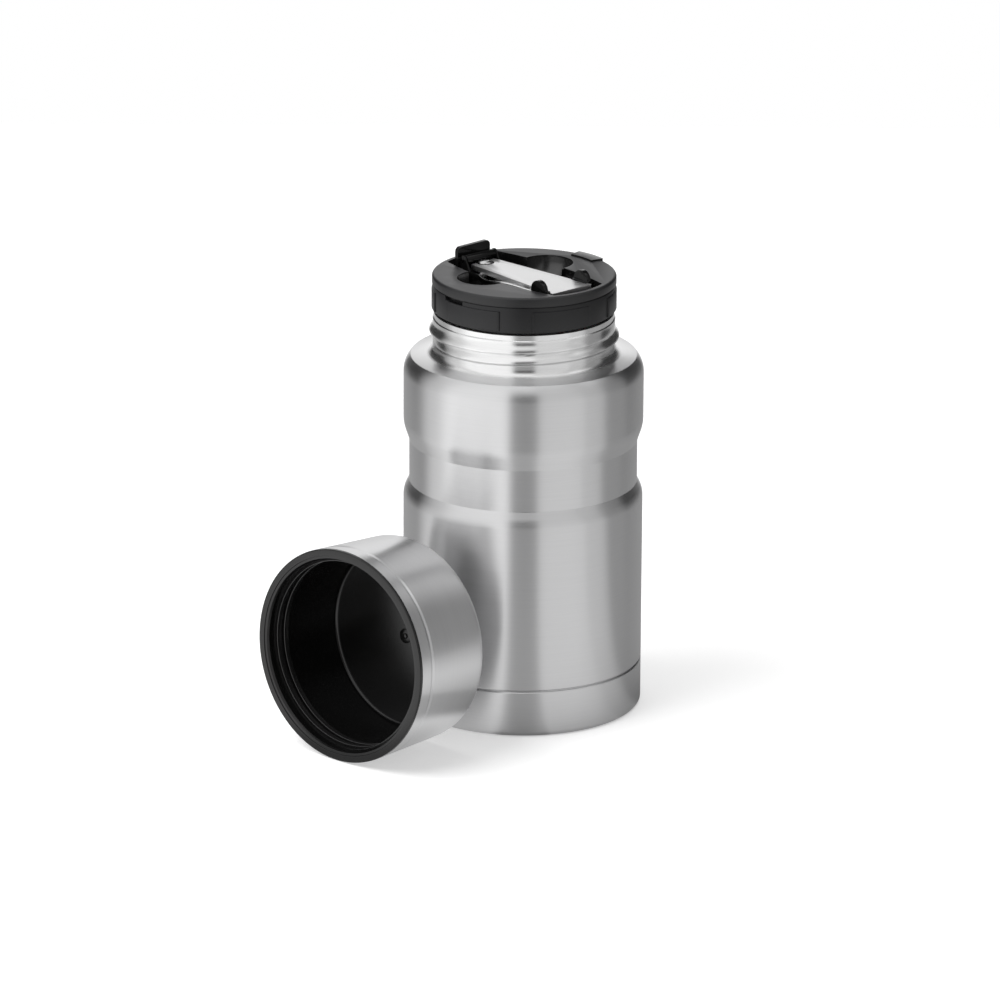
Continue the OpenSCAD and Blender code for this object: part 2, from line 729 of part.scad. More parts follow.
module thumb_plate() {
    tongue_top = handle_top - handle_t;
    plate_x = hinge_x - plate_in - plate_t;
    rivet_x = strip_x + rivet_in / 2;
    foot = tongue_top - tongue_t;
    color([0.05, 0.05, 0.055]) at_stopper() difference() {
        union() {
            // The plate, with two round upper corners
            translate([plate_x, 0, 0]) rotate([90, 0, 90]) linear_extrude(height = plate_t)
                polygon(rounded([
                    [-plate_w / 2, foot, 0], [plate_w / 2, foot, 0],
                    [plate_w / 2, plate_up, plate_f], [-plate_w / 2, plate_up, plate_f],
                    [-plate_w / 2, foot, 0]]));
            translate([hinge_x, plate_w / 2, pin_up]) rotate([90, 0, 0])
                cylinder(h = plate_w, r = barrel_r, $fn = round_fn);
            translate([plate_x + plate_t / 2, -tongue_w / 2, foot])
                cube([plate_in + plate_t / 2 + barrel_r / 2, tongue_w, pin_up - foot]);
            translate([plate_x + plate_t / 2, -tongue_w / 2, foot])
                cube([hinge_x - plate_x + tongue_len - plate_t / 2, tongue_w, tongue_t]);
        }
        translate([hinge_x, plate_w, pin_up]) rotate([90, 0, 0])
            cylinder(h = plate_w * 2, r = pin_d / 2 + press_clear / 2, $fn = round_fn);
        translate([rivet_x, 0, foot - over])
            cylinder(h = tongue_t + over * 2, r = rivet_r + press_clear / 2, $fn = round_fn);
    }
}

module hinge_pin() {
    color(steel) at_stopper() translate([hinge_x, pin_half, pin_up]) rotate([90, 0, 0])
        cylinder(h = pin_half * 2, r = pin_d / 2, $fn = round_fn);
}

module handle_rivet() {
    rivet_x = strip_x + rivet_in / 2;
    tail = handle_top - handle_t - tongue_t;
    color(steel) at_stopper() translate([rivet_x, 0, 0]) rotate_extrude($fn = round_fn)
        polygon(concat([[0, tail - rivet_tail_h], [rivet_tail_r, tail - rivet_tail_h],
            [rivet_tail_r, tail], [rivet_r, tail], [rivet_r, handle_top]],
            rounded([[rivet_head_r, handle_top, 0],
                [rivet_head_r, handle_top + rivet_head_h, rivet_head_h * 0.6],
                [0, handle_top + rivet_head_h, 0]])));
}

// Lays the cap on its side, on the straight line of its taper
module at_cap() {
    translate([cap_x, cap_y, cap_rim_r * cos(cap_tilt)])
        rotate([0, 90 + cap_tilt, cap_az]) children();
}

function cap_r(z) = cap_rim_r - cap_taper * z / cap_len;

module cap_shell() {
    groove_z = cap_band_h;
    color(steel) at_cap() turned_wall([
        [cap_r(lip_t), lip_t, 0],
        [cap_r(groove_z), groove_z, 0],
        [cap_r(groove_z) - cap_groove_in, groove_z + cap_groove_h / 2, 0],
        [cap_r(groove_z + cap_groove_h), groove_z + cap_groove_h, 0],
        [cap_end_r, cap_len, cap_end_f],
        [0, cap_len, 0]], cap_shell_t);
}

cap_liner_line = [
    [cap_rim_r - lip_in, lip_t / 2, 0],
    [cap_rim_r - lip_in, 0, 0],
    [cap_bore_r + lip_chamfer, 0, 0],
    [cap_bore_r, lip_chamfer * 2, 0],
    [cap_bore_r - cap_draft, cap_floor_z, cap_floor_f],
    [0, cap_floor_z, 0]];

module cap_liner() {
    seat = cap_len - cap_shell_t - press_clear;
    back = [[0, seat], [cap_bore_r - cap_draft - cap_floor_f + cap_wall, seat],
        [cap_bore_r - cap_draft + cap_wall, seat - cap_floor_f],
        [cap_bore_r + cap_wall, lip_t], [cap_rim_r - lip_in, lip_t]];
    color(dark_plastic) at_cap() {
        rotate_extrude($fn = round_fn)
            polygon(concat(rounded(cap_liner_line), back));
        ridge(cap_bore_r - cap_draft * cap_thread_start / cap_floor_z, -cap_thread_depth,
            cap_turns, cap_thread_start, narrow_ridge_shares, 1);
        translate([0, 0, cap_floor_z - nub_h]) cylinder(h = nub_h + cap_wall / 2, r = nub_r,
            $fn = round_fn);
        translate([0, 0, cap_floor_z - nub_ring_h])
            cylinder(h = nub_ring_h + cap_wall / 2, r = nub_ring_r, $fn = round_fn);
    }
}

outer_shell();
inner_liner();
reflector_foil();
outer_bottom();
vacuum_seal();
getter();
base_cup();
stopper_top();
grip_ring();
stopper_plug();
stopper_insulation();
stopper_bottom_cover();
stopper_gasket();
spoon_bowl();
spoon_handle();
thumb_plate();
hinge_pin();
handle_rivet();
cap_shell();
cap_liner();
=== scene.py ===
# %% [markdown]
# # An insulated food jar with a folding spoon
# The object is a steel jar with a vacuum between its two walls. A black stopper closes
# the mouth and carries a folding spoon in a recess, and the screw cap lies in front.
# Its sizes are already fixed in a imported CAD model. This script loads that model and
# gives each piece the skin and the finish that the eye meets.

# %% Load the fixed frame
import json
import math

import bmesh
import bpy
from mathutils import Matrix, Vector

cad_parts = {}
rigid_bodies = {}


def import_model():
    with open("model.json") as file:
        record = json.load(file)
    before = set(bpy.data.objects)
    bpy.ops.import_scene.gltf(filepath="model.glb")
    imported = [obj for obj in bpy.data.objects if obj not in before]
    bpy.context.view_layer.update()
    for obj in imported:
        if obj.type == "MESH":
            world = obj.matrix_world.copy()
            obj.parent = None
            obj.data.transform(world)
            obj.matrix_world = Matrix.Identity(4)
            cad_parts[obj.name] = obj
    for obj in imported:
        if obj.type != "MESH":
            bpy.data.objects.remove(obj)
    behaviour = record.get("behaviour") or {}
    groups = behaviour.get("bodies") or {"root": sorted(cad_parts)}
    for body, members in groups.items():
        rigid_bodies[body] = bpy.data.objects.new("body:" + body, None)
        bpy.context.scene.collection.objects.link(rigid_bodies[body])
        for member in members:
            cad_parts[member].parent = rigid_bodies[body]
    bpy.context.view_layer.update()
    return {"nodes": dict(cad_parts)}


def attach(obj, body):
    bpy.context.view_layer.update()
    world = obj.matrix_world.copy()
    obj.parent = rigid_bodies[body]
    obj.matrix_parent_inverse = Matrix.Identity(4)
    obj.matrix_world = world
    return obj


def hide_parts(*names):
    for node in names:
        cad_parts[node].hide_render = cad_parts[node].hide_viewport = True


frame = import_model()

MM = 0.001

# %% [markdown]
# ## The camera
# The picture is taken from 2.7 metres with a long lens, looking down by eighteen degrees,
# so that the jar's sides stay almost parallel. The camera could be aimed with a Track To
# constraint, but plain numbers are easier to check: a place, a pitch and a small roll of
# a quarter of a degree.

# %% Set up the camera
def shown(name, data):
    """Puts new data in the scene as an object."""
    piece = bpy.data.objects.new(name, data)
    bpy.context.scene.collection.objects.link(piece)
    return piece


CAMERA_PLACE = (-0.0092, -2.559, 0.9177)
CAMERA_PITCH = math.radians(90 - 18.05)
CAMERA_ROLL = math.radians(0.28)

eye = shown("long_lens", bpy.data.cameras.new("long_lens"))
eye.matrix_world = (Matrix.Translation(CAMERA_PLACE) @ Matrix.Rotation(CAMERA_PITCH, 4, "X")
                    @ Matrix.Rotation(CAMERA_ROLL, 4, "Z"))
eye.data.sensor_width = 36
eye.data.lens = 36 * 6.7
bpy.context.scene.camera = eye
bpy.context.scene.view_settings.view_transform = "Standard"
print("field of view:", round(math.degrees(eye.data.angle), 2), "degrees")

# %% [markdown]
# ## Turned shapes
# Nearly everything here is made on a lathe or in a round mould: an outline turned about
# an axis. Blender has a Screw modifier for that, but a short function gives closed skins
# with outward faces and a say over each row of points. An outline is a list of corners,
# each with the radius of its fillet.

# %% Outlines with fillets
def rounded(corners, steps=10):
    """Points of an open line of (r, z, fillet) corners."""
    points = [Vector(corners[0][:2])]
    for before, here, after in zip(corners, corners[1:], corners[2:]):
        b, fillet = Vector(here[:2]), here[2]
        p, q = (Vector(before[:2]) - b).normalized(), (Vector(after[:2]) - b).normalized()
        opening = math.acos(max(-1.0, min(1.0, p.dot(q))))
        if fillet <= 0 or opening > math.radians(179.5):
            points.append(b)
            continue
        middle = b + (p + q).normalized() * fillet / math.sin(opening / 2)
        start = b + p * fillet / math.tan(opening / 2)
        turn = 1 if p.cross(q) < 0 else -1
        first = math.atan2(start.y - middle.y, start.x - middle.x)
        for i in range(steps + 1):
            at = first + turn * (math.pi - opening) * i / steps
            points.append(middle + fillet * Vector((math.cos(at), math.sin(at))))
    return points + [Vector(corners[-1][:2])]


def moved(corners, by):
    """The same corners moved to the left of the line, with concentric fillets."""
    line = []
    for i, (r, z, fillet) in enumerate(corners):
        here = Vector((r, z))
        into = (here - Vector(corners[i - 1][:2])).normalized() if i else None
        out = (Vector(corners[i + 1][:2]) - here).normalized() if i + 1 < len(corners) else None
        a, b = into or out, out or into
        left_a, left_b = Vector((-a.y, a.x)), Vector((-b.y, b.x))
        point = here + (left_a + left_b) * by / (1 + left_a.dot(left_b))
        fillet = max(0.0, fillet - math.copysign(1, a.cross(b)) * by) if fillet > 0 else 0
        line.append((point.x, point.y, fillet))
    return line


def finer(points, step, above=-1e9):
    """Splits the runs of a line that are longer than step, above a height."""
    line = [points[0]]
    for a, b in zip(points, points[1:]):
        parts = max(1, math.ceil((b - a).length / step)) if min(a.y, b.y) >= above else 1
        line += [a.lerp(b, (i + 1) / parts) for i in range(parts)]
    return line


print("a fillet of 2 on a square corner has", len(rounded([(0, 0, 0), (5, 0, 2), (5, 5, 0)])), "points")

# %% [markdown]
# Each mesh made here is shaded smooth up to its sharp edges, gets its finish and goes into
# the scene. Its volume is printed too: a closed skin whose faces all look outwards has a
# positive one, so a face that is turned the wrong way is found early.

# %% Make a skin from points and faces
def volume_of(mesh):
    solid = bmesh.new()
    solid.from_mesh(mesh)
    value = solid.calc_volume(signed=True)
    solid.free()
    return value / MM ** 3


def tell(name, mesh):
    print(f"{name}: {len(mesh.polygons)} faces, {volume_of(mesh):.0f} mm3")


def shaded(mesh, finish=None, sharp=30):
    """Shades a mesh smooth up to its sharp edges, gives it a finish, and shows it."""
    mesh.shade_smooth()
    mesh.set_sharp_from_angle(angle=math.radians(sharp))
    if finish:
        mesh.materials.append(finish)
    tell(mesh.name, mesh)
    return shown(mesh.name, mesh)


def skin(name, points, faces, finish=None, place=Matrix(), sharp=30):
    """An object from points in millimetres, placed through its mesh."""
    mesh = bpy.data.meshes.new(name)
    mesh.from_pydata([(place @ Vector(p)) * MM for p in points], [], faces)
    mesh.validate()
    return shaded(mesh, finish, sharp)


def mesh_from(solid, name):
    """Turns an editable solid into a mesh."""
    mesh = bpy.data.meshes.new(name)
    solid.to_mesh(mesh)
    solid.free()
    return mesh


print("objects in the scene so far:", len(bpy.context.scene.objects))

# %% [markdown]
# The function below turns a closed outline into a skin. It merges the points on the axis,
# so that a pole is one point. The sign of the outline's area tells which side is out, so
# it may be listed in either order. Rows of points that don't go all the way round are
# joined in the same way, with a face at each end.

# %% Turn an outline into a skin
def banded(n, rows, closed=False):
    """Faces between rows of n points; an open run also gets a face at each end."""
    faces = []
    for j in range(rows if closed else rows - 1):
        near, far = j * n, (j + 1) % rows * n
        faces += [(near + i, far + i, far + (i + 1) % n, near + (i + 1) % n) for i in range(n)]
    if not closed:
        faces += [tuple(range(n)), tuple(range(rows * n - 1, rows * n - n - 1, -1))]
    return faces


def turned(name, outline, finish=None, columns=160, place=Matrix(), sharp=30):
    """Turns a closed outline of (r, z), listed in either order, about the z axis."""
    area = sum(a[0] * b[1] - b[0] * a[1] for a, b in zip(outline, outline[1:] + outline[:1]))
    outline = outline if area > 0 else outline[::-1]
    points, rows = [], []
    for r, z in outline:
        if r < 1e-6:
            rows.append([len(points)] * columns)
            points.append((0, 0, z))
            continue
        rows.append(range(len(points), len(points) + columns))
        for j in range(columns):
            at = 2 * math.pi * j / columns
            points.append((r * math.cos(at), r * math.sin(at), z))
    faces = []
    for low, high in zip(rows, list(rows[1:]) + [rows[0]]):
        for j in range(columns):
            k = (j + 1) % columns
            face = list(dict.fromkeys((low[j], low[k], high[k], high[j])))
            if len(face) > 2:
                faces.append(face)
    return skin(name, points, faces, finish, place, sharp)


def walled(corners, wall, step=4.0, fine=None):
    """A closed outline: a line and the same line moved to its left by a wall."""
    out, back = rounded(corners), rounded(moved(corners, wall))
    out, back = finer(out, step), finer(back, step)
    if fine:
        out, back = finer(out, *fine), finer(back, *fine)
    return out + back[::-1]


print("four closed rows of five points have", len(banded(5, 4, closed=True)), "faces")

# %% [markdown]
# ## Node trees
# Finishes are shader trees, and what repeats or follows a rule is grown by Geometry Nodes.
# A tree could be drawn by hand in the editor, but written here each number can be read
# and changed. The helpers below add one node with all its inputs, and let maths be
# written almost like plain sums: m.add(a, b) stands for one Math node.

# %% Nodes and their links
def plug(tree, value, socket):
    """Links an output socket, or writes a plain value."""
    if isinstance(value, bpy.types.NodeSocket):
        tree.links.new(value, socket)
    else:
        socket.default_value = value


def node_of(tree, kind, wires=None, **settings):
    """Adds a node and its settings, then fills inputs, by name or number, from wires."""
    made = tree.nodes.new(kind)
    for key, value in settings.items():
        setattr(made, key, value)
    for key, value in (wires or {}).items():
        plug(tree, value, made.inputs[key])
    return made


class Maths:
    """The Math nodes of one tree, by the name of the operation."""

    def __init__(self, tree):
        self.tree = tree

    def __getattr__(self, operation):
        def step(*values):
            wires = dict(enumerate(values))
            return node_of(self.tree, "ShaderNodeMath", wires, operation=operation.upper()).outputs[0]
        return step

    def shares(self, a, share_a, b, share_b):
        return self.add(self.multiply(a, share_a), self.multiply(b, share_b))


def parts_of(tree, vector):
    return node_of(tree, "ShaderNodeSeparateXYZ", {0: vector}).outputs


def vector_from(tree, x, y, z=0.0):
    return node_of(tree, "ShaderNodeCombineXYZ", {0: x, 1: y, 2: z}).outputs[0]


def unit_of(tree, vector):
    return node_of(tree, "ShaderNodeVectorMath", {0: vector}, operation="NORMALIZE").outputs["Vector"]


def step_up(tree, value, start, end):
    """0 below start, 1 above end, smooth between."""
    return node_of(tree, "ShaderNodeMapRange", {"Value": value, "From Min": start, "From Max": end},
                   interpolation_type="SMOOTHSTEP").outputs["Result"]


print("helpers for trees are ready in Blender", bpy.app.version_string)

# %% [markdown]
# A growing tree has a geometry in and out, a material and named sizes. It ends in Realize
# Instances and Set Material, so the result is one plain mesh with its finish. The exported
# model keeps no modifiers, so the tree runs once, its result is kept as the piece's mesh,
# and the modifier goes.

# %% Growing trees
def new_growth(name, **sizes):
    """A Geometry Nodes tree with a geometry in and out, a material, and named sizes."""
    tree = bpy.data.node_groups.new(name, "GeometryNodeTree")
    tree.interface.new_socket("Geometry", in_out="OUTPUT", socket_type="NodeSocketGeometry")
    tree.interface.new_socket("Geometry", in_out="INPUT", socket_type="NodeSocketGeometry")
    tree.interface.new_socket("Finish", in_out="INPUT", socket_type="NodeSocketMaterial")
    for size, value in sizes.items():
        kind = "NodeSocketInt" if isinstance(value, int) else "NodeSocketFloat"
        tree.interface.new_socket(size, in_out="INPUT", socket_type=kind).default_value = value
    return tree, node_of(tree, "NodeGroupInput").outputs


def end_growth(tree, geometry, finish):
    """Ends a tree in Realize Instances and Set Material."""
    real = node_of(tree, "GeometryNodeRealizeInstances", {0: geometry})
    dyed = node_of(tree, "GeometryNodeSetMaterial", {"Geometry": real.outputs[0], "Material": finish})
    node_of(tree, "NodeGroupOutput", {0: dyed.outputs[0]})
    return tree


def settled(piece):
    """Keeps what the modifiers make as the piece's plain mesh, and drops them."""
    ready = piece.evaluated_get(bpy.context.evaluated_depsgraph_get())
    mesh = bpy.data.meshes.new_from_object(ready)
    piece.modifiers.clear()
    piece.data = mesh
    mesh.name = piece.name
    tell(piece.name, mesh)
    return piece


def grow(piece, tree, finish, **sizes):
    """Runs a tree on a piece with the given finish and sizes."""
    modifier = piece.modifiers.new("growth", "NODES")
    modifier.node_group = tree
    values = {"Finish": finish, **sizes}
    for item in tree.interface.items_tree:
        if item.in_out == "INPUT" and item.name in values:
            modifier[item.identifier] = values[item.name]
    settled(piece).data.set_sharp_from_angle(angle=math.radians(30))


print("a tree's inputs are found by their socket identifiers")

# %% [markdown]
# ## Colour, noise and dents
# A single flat colour looks like a drawing, so every finish here varies a little from place
# to place. Noise nodes give the variation, in Object coordinates, so that it stays with
# the piece when a joint moves. The helpers blend two colours or two numbers by it.

# %% Finish helpers
def new_finish(name):
    finish = bpy.data.materials.new(name)
    finish.use_nodes = True
    tree = finish.node_tree
    return finish, tree, tree.nodes["Principled BSDF"]


def mixed(tree, factor, a, b):
    """Blends two colours or two numbers, each plain or a socket."""
    if isinstance(a, tuple) or getattr(a, "type", "") == "RGBA":
        a, b = ((*colour, 1) if isinstance(colour, tuple) else colour for colour in (a, b))
        return node_of(tree, "ShaderNodeMix", {0: factor, 6: a, 7: b}, data_type="RGBA").outputs[2]
    return node_of(tree, "ShaderNodeMapRange", {"Value": factor, "To Min": a, "To Max": b}).outputs["Result"]


def speckle(tree, vector, scale, detail=3.0, roughness=0.55):
    return node_of(tree, "ShaderNodeTexNoise", {"Vector": vector, "Scale": scale, "Detail": detail,
                                                "Roughness": roughness}).outputs["Fac"]


def dented(tree, shader, height, strength, depth):
    bump = node_of(tree, "ShaderNodeBump", {"Height": height, "Strength": strength, "Distance": depth})
    plug(tree, bump.outputs["Normal"], shader.inputs["Normal"])


def set_inputs(shader, **values):
    """Fills the shader's own sockets; an underscore stands for a space."""
    for key, value in values.items():
        plug(shader.id_data, value, shader.inputs[key.replace("_", " ")])


print("finish helpers are ready")

# %% [markdown]
# ## Brushed steel
# The jar and the cap are brushed on a lathe, so fine scratches run round them, and a
# lamp's reflection is pulled into a long band across the scratches. A bump alone would
# need scratches thinner than a pixel. The anisotropic shader does it with one number, if
# it is told the direction: here a tangent that runs round the axis, turned by a quarter.
# Noise that is stretched round the axis then varies the colour and the roughness, so the
# brushing shows in close views too. The neck is polished, so it gets values of its own.

# %% The brushed steel
def brushed_steel(name, light, dark, smooth, rough, streak=0.9, centre=None, tilt=None, neck=None):
    """Steel brushed round an axis.

    centre and tilt say where a laid piece has its axis. neck has the height where it
    begins and is reached, then the roughness and the dark and light colour above that.
    """
    finish, tree, shader = new_finish(name)
    m = Maths(tree)
    place = node_of(tree, "ShaderNodeTexCoord").outputs["Object"]
    if centre:
        place = node_of(tree, "ShaderNodeMapping", {"Vector": place, "Location": centre, "Rotation": tilt},
                        vector_type="TEXTURE").outputs["Vector"]
    x, y, z = parts_of(tree, place)
    radius = m.sqrt(m.add(m.multiply(x, x), m.multiply(y, y)))
    along = m.subtract(z, m.multiply(radius, 0.8))

    def streaks(round_scale, along_scale):
        return vector_from(tree, m.multiply(x, round_scale), m.multiply(y, round_scale),
                           m.multiply(along, along_scale))

    fine = speckle(tree, streaks(60, 5200), 1.0, 2.0)
    broad = speckle(tree, streaks(25, 700), 1.0, 3.0)
    hands = speckle(tree, place, 38.0, 4.0, 0.6)
    both = m.shares(fine, 0.6, broad, 0.4)
    colour = mixed(tree, both, dark, light)
    level = mixed(tree, m.shares(both, 0.75, hands, 0.25), smooth, rough)
    if neck:
        low, high, neck_rough, neck_dark, neck_light = neck
        above = step_up(tree, z, low, high)
        level = mixed(tree, above, level, neck_rough)
        colour = mixed(tree, above, colour, mixed(tree, both, neck_dark, neck_light))
    dented(tree, shader, both, 0.12, 0.00003)

    direction = vector_from(tree, m.multiply(y, -1.0), x)
    if centre:
        direction = node_of(tree, "ShaderNodeMapping", {"Vector": direction, "Rotation": tilt},
                            vector_type="VECTOR").outputs["Vector"]
    posed = node_of(tree, "ShaderNodeVectorTransform", {0: direction}, vector_type="VECTOR",
                    convert_from="OBJECT", convert_to="WORLD")
    set_inputs(shader, Base_Color=colour, Roughness=level, Metallic=1.0, Anisotropic=streak,
               Anisotropic_Rotation=0.25, Tangent=unit_of(tree, posed.outputs[0]))
    return finish


NECK_FINISH = (0.1450, 0.1475, 0.25, (0.82, 0.82, 0.82), (0.93, 0.93, 0.93))
jar_steel = brushed_steel("brushed_jar_steel", (0.76, 0.76, 0.765), (0.66, 0.66, 0.665), 0.26, 0.40,
                          neck=NECK_FINISH)
liner_steel = brushed_steel("drawn_liner_steel", (0.74, 0.74, 0.74), (0.66, 0.66, 0.66), 0.24, 0.36)
print("nodes in the jar's steel:", len(jar_steel.node_tree.nodes))

# %% [markdown]
# ## The jar's outer wall
# The wall is drawn from one sheet: base rim, lower band, waist, upper band, shoulder, a
# sloped landing for the cap, and the neck. Turning its outline gives all of that. Its
# cap thread is rolled into the neck afterwards, so both faces of the sheet bulge. A
# separate swept rib would leave a hard line where it meets the neck.

# %% The outer wall's outline
JAR_R, WAIST_R, NECK_R, TUCK_R = 48.0, 45.7, 36.4, 47.35
SHELL_T, MOUTH_TOP = 0.7, 163.2
CUP_TOP, SEAM_TOP = 18.7, 19.3
SHELL_LINE = [
    (TUCK_R, 9.5, 0), (TUCK_R, SEAM_TOP, 0.25), (JAR_R, SEAM_TOP, 0.5), (JAR_R, 89.0, 10),
    (WAIST_R, 93.5, 0.8), (WAIST_R, 110.6, 0.8), (JAR_R, 117.4, 14), (JAR_R, 142.2, 10),
    (45.2, 145.4, 0.7), (NECK_R, 146.6, 3.2), (NECK_R, 160.8, 0), (NECK_R - 0.4, 161.2, 0),
    (NECK_R - 0.4, MOUTH_TOP, 0)]
jar_wall = turned("jar_wall", walled(SHELL_LINE, SHELL_T, 4.0, (0.3, 147.5)), columns=240)

# %% [markdown]
# The rolled thread is a rule: a point at angle a is lifted by a smooth wave whose crest
# climbs one pitch in a turn, and which runs out at both ends. Geometry Nodes work it out
# for every point of the neck at once with a Set Position node. The crest can pass an
# angle twice, so the rule is taken for two turns and the higher one counts. The flank
# below the crest is short, because the cap's thread pulls on that side.

# %% The rolled thread as a tree
def rolled_thread():
    tree, given = new_growth("rolled thread", Pitch=0.0046, Depth=0.0019, Turns=1.45,
                             Start_height=0.1526, Start_angle=190.0, Run_out=40.0, Last_share=0.6,
                             Upper_flank=0.0032, Lower_flank=0.0015)
    m = Maths(tree)
    x, y, z = parts_of(tree, node_of(tree, "GeometryNodeInputPosition").outputs[0])
    angle = m.subtract(m.degrees(m.arctan2(y, x)), given["Start_angle"])
    first = m.divide(m.wrap(angle, 360.0, 0.0), 360.0)
    lifts = []
    for lap in (0.0, 1.0):
        turns = m.add(first, lap)
        off = m.subtract(z, m.multiply_add(turns, given["Pitch"], given["Start_height"]))
        above = m.divide(m.maximum(off, 0.0), given["Upper_flank"])
        below = m.divide(m.minimum(off, 0.0), given["Lower_flank"])
        half = m.minimum(m.multiply(m.subtract(above, below), 0.5), 0.5)
        wave = m.multiply_add(m.cosine(m.multiply(half, 2 * math.pi)), 0.5, 0.5)
        to_end = m.minimum(turns, m.subtract(given["Turns"], turns))
        fade = m.divide(m.multiply(to_end, 360.0), given["Run_out"])
        fade = m.smooth_min(m.maximum(fade, 0.0), 1.0, 0.2)
        share = m.multiply_add(m.divide(turns, given["Turns"]), m.subtract(given["Last_share"], 1.0), 1.0)
        lifts.append(m.multiply(m.multiply(wave, fade), share))
    lift = m.maximum(m.multiply(m.maximum(*lifts), given["Depth"]), 0.0)
    move = node_of(tree, "ShaderNodeVectorMath", {0: unit_of(tree, vector_from(tree, x, y)), "Scale": lift},
                   operation="SCALE")
    shift = node_of(tree, "GeometryNodeSetPosition", {"Geometry": given["Geometry"],
                                                      "Offset": move.outputs["Vector"]})
    return end_growth(tree, shift.outputs[0], given["Finish"])


grow(jar_wall, rolled_thread(), jar_steel, Pitch=4.2 * MM, Depth=1.8 * MM, Turns=1.45,
     Start_height=151.5 * MM, Start_angle=190.0, Run_out=40.0, Last_share=0.7,
     Upper_flank=3.6 * MM, Lower_flank=1.5 * MM)
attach(jar_wall, "jar")
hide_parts("outer_shell")

# %% [markdown]
# ## The base cup
# The base cup is a separate pressing, and the gap above its rounded edge is the thin line
# low on the jar. It could be faked by a dark line in the steel's finish, but a real gap
# of half a millimetre catches the light on its lower edge as the photograph shows.

# %% Base cup
CUP_LINE = [(0, 0, 0), (JAR_R, 0, 2.2), (JAR_R, CUP_TOP - 0.4, 0.4), (JAR_R - 0.25, CUP_TOP, 0)]
base_cup = turned("base_cup_skin", walled(CUP_LINE, 0.4), jar_steel, columns=240)
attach(base_cup, "jar")
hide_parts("base_cup")
print("seam between cup and wall in mm:", round(SEAM_TOP - CUP_TOP, 2))

# %% [markdown]
# ## One block, set round an axis
# The liner's lugs, the plug's lugs and the ring's grip panels are all small blocks at even
# angles. One rounded block is made for each, and a tree sets copies of it round the axis:
# points by count, each turned by its index. A copied object for each would work as well,
# but then a change of count means a change in many places.

# %% A tree that repeats a piece round the axis
def round_the_axis():
    tree, given = new_growth("round the axis", Count=3, First_angle=0.0)
    m = Maths(tree)
    spots = node_of(tree, "GeometryNodePoints", {"Count": given["Count"]})
    index = node_of(tree, "GeometryNodeInputIndex").outputs[0]
    at = m.multiply_add(index, m.divide(2 * math.pi, given["Count"]), m.radians(given["First_angle"]))
    turn = node_of(tree, "FunctionNodeEulerToRotation", {0: vector_from(tree, 0.0, 0.0, at)})
    copies = node_of(tree, "GeometryNodeInstanceOnPoints", {
        "Points": spots.outputs[0], "Instance": given["Geometry"], "Rotation": turn.outputs[0]})
    return end_growth(tree, copies.outputs[0], given["Finish"])


AROUND = round_the_axis()


def pad_on_ring(name, r_in, r_out, low, high, wide, edge, place=Matrix(), columns=24):
    """A block on a ring, centred on angle 0, whose outer corners are rounded by edge."""
    nick = edge * 0.3
    section = [(r_in, low), (r_out - edge, low), (r_out - nick, low + nick), (r_out, low + edge),
               (r_out, high - edge), (r_out - nick, high - nick), (r_out - edge, high), (r_in, high)]
    half, edge_turn = math.radians(wide) / 2, edge / r_out
    angles = ([-half, -half + edge_turn * 0.3] +
              [-half + edge_turn + (2 * half - 2 * edge_turn) * j / columns for j in range(columns + 1)]
              + [half - edge_turn * 0.3, half])
    drops = [edge, nick] + [0] * (columns + 1) + [nick, edge]
    points = []
    for at, drop in zip(angles, drops):
        for r, z in section:
            r = min(r, r_out - drop)
            points.append((r * math.cos(at), r * math.sin(at), z))
    return skin(name, points, banded(len(section), len(angles)), place=place, sharp=50)


print("the repeating tree has", len(AROUND.nodes), "nodes")

# %% [markdown]
# ## The liner
# The liner is drawn deep, its rim is turned out at the mouth, and three lugs are pressed
# into it that hold the stopper. Its wall and rim are turned, and the lugs come from the
# repeating tree. A piece that is made of several shapes is joined into one mesh, so that
# one object stands for one CAD node.

# %% Join shapes, then the liner
def joined(name, *pieces):
    """Joins pieces into one mesh with all their finishes."""
    whole = bmesh.new()
    finishes = []
    for piece in pieces:
        start = len(whole.faces)
        whole.from_mesh(piece.data)
        whole.faces.ensure_lookup_table()
        slots = list(piece.data.materials)
        for finish in slots:
            if finish not in finishes:
                finishes.append(finish)
        for face in whole.faces[start:]:
            face.material_index = finishes.index(slots[min(face.material_index, len(slots) - 1)])
        bpy.data.objects.remove(piece)
    mesh = mesh_from(whole, name)
    for finish in finishes:
        mesh.materials.append(finish)
    return shown(name, mesh)


MOUTH_R, LINER_R, LINER_T = 34.0, 42.3, 0.6
LIP_R = NECK_R - 0.4 - SHELL_T - 0.05
LINER_LINE = [(0, 20.3, 0), (LINER_R, 20.3, 14), (LINER_R, 136.6, 8), (MOUTH_R, 142.1, 4),
              (MOUTH_R, 162.4, 0)]
liner_wall = turned("liner_wall", walled(LINER_LINE, -LINER_T), liner_steel)
liner_rim = turned("liner_rim", [
    (MOUTH_R, 162.0), (MOUTH_R + 0.6, 162.2), (LIP_R, 162.6), (LIP_R, MOUTH_TOP),
    (MOUTH_R + 0.5, MOUTH_TOP), (MOUTH_R + 0.12, MOUTH_TOP - 0.15), (MOUTH_R, MOUTH_TOP - 0.5)],
    liner_steel)
liner_lug = pad_on_ring("liner_lug", MOUTH_R - 1.1, MOUTH_R + 0.3, 150.8, 153.0, 24, 0.1)
grow(liner_lug, AROUND, liner_steel, Count=3, First_angle=0.0)
liner = joined("inner_liner_skin", liner_wall, liner_rim, liner_lug)
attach(liner, "jar")
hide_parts("inner_liner")

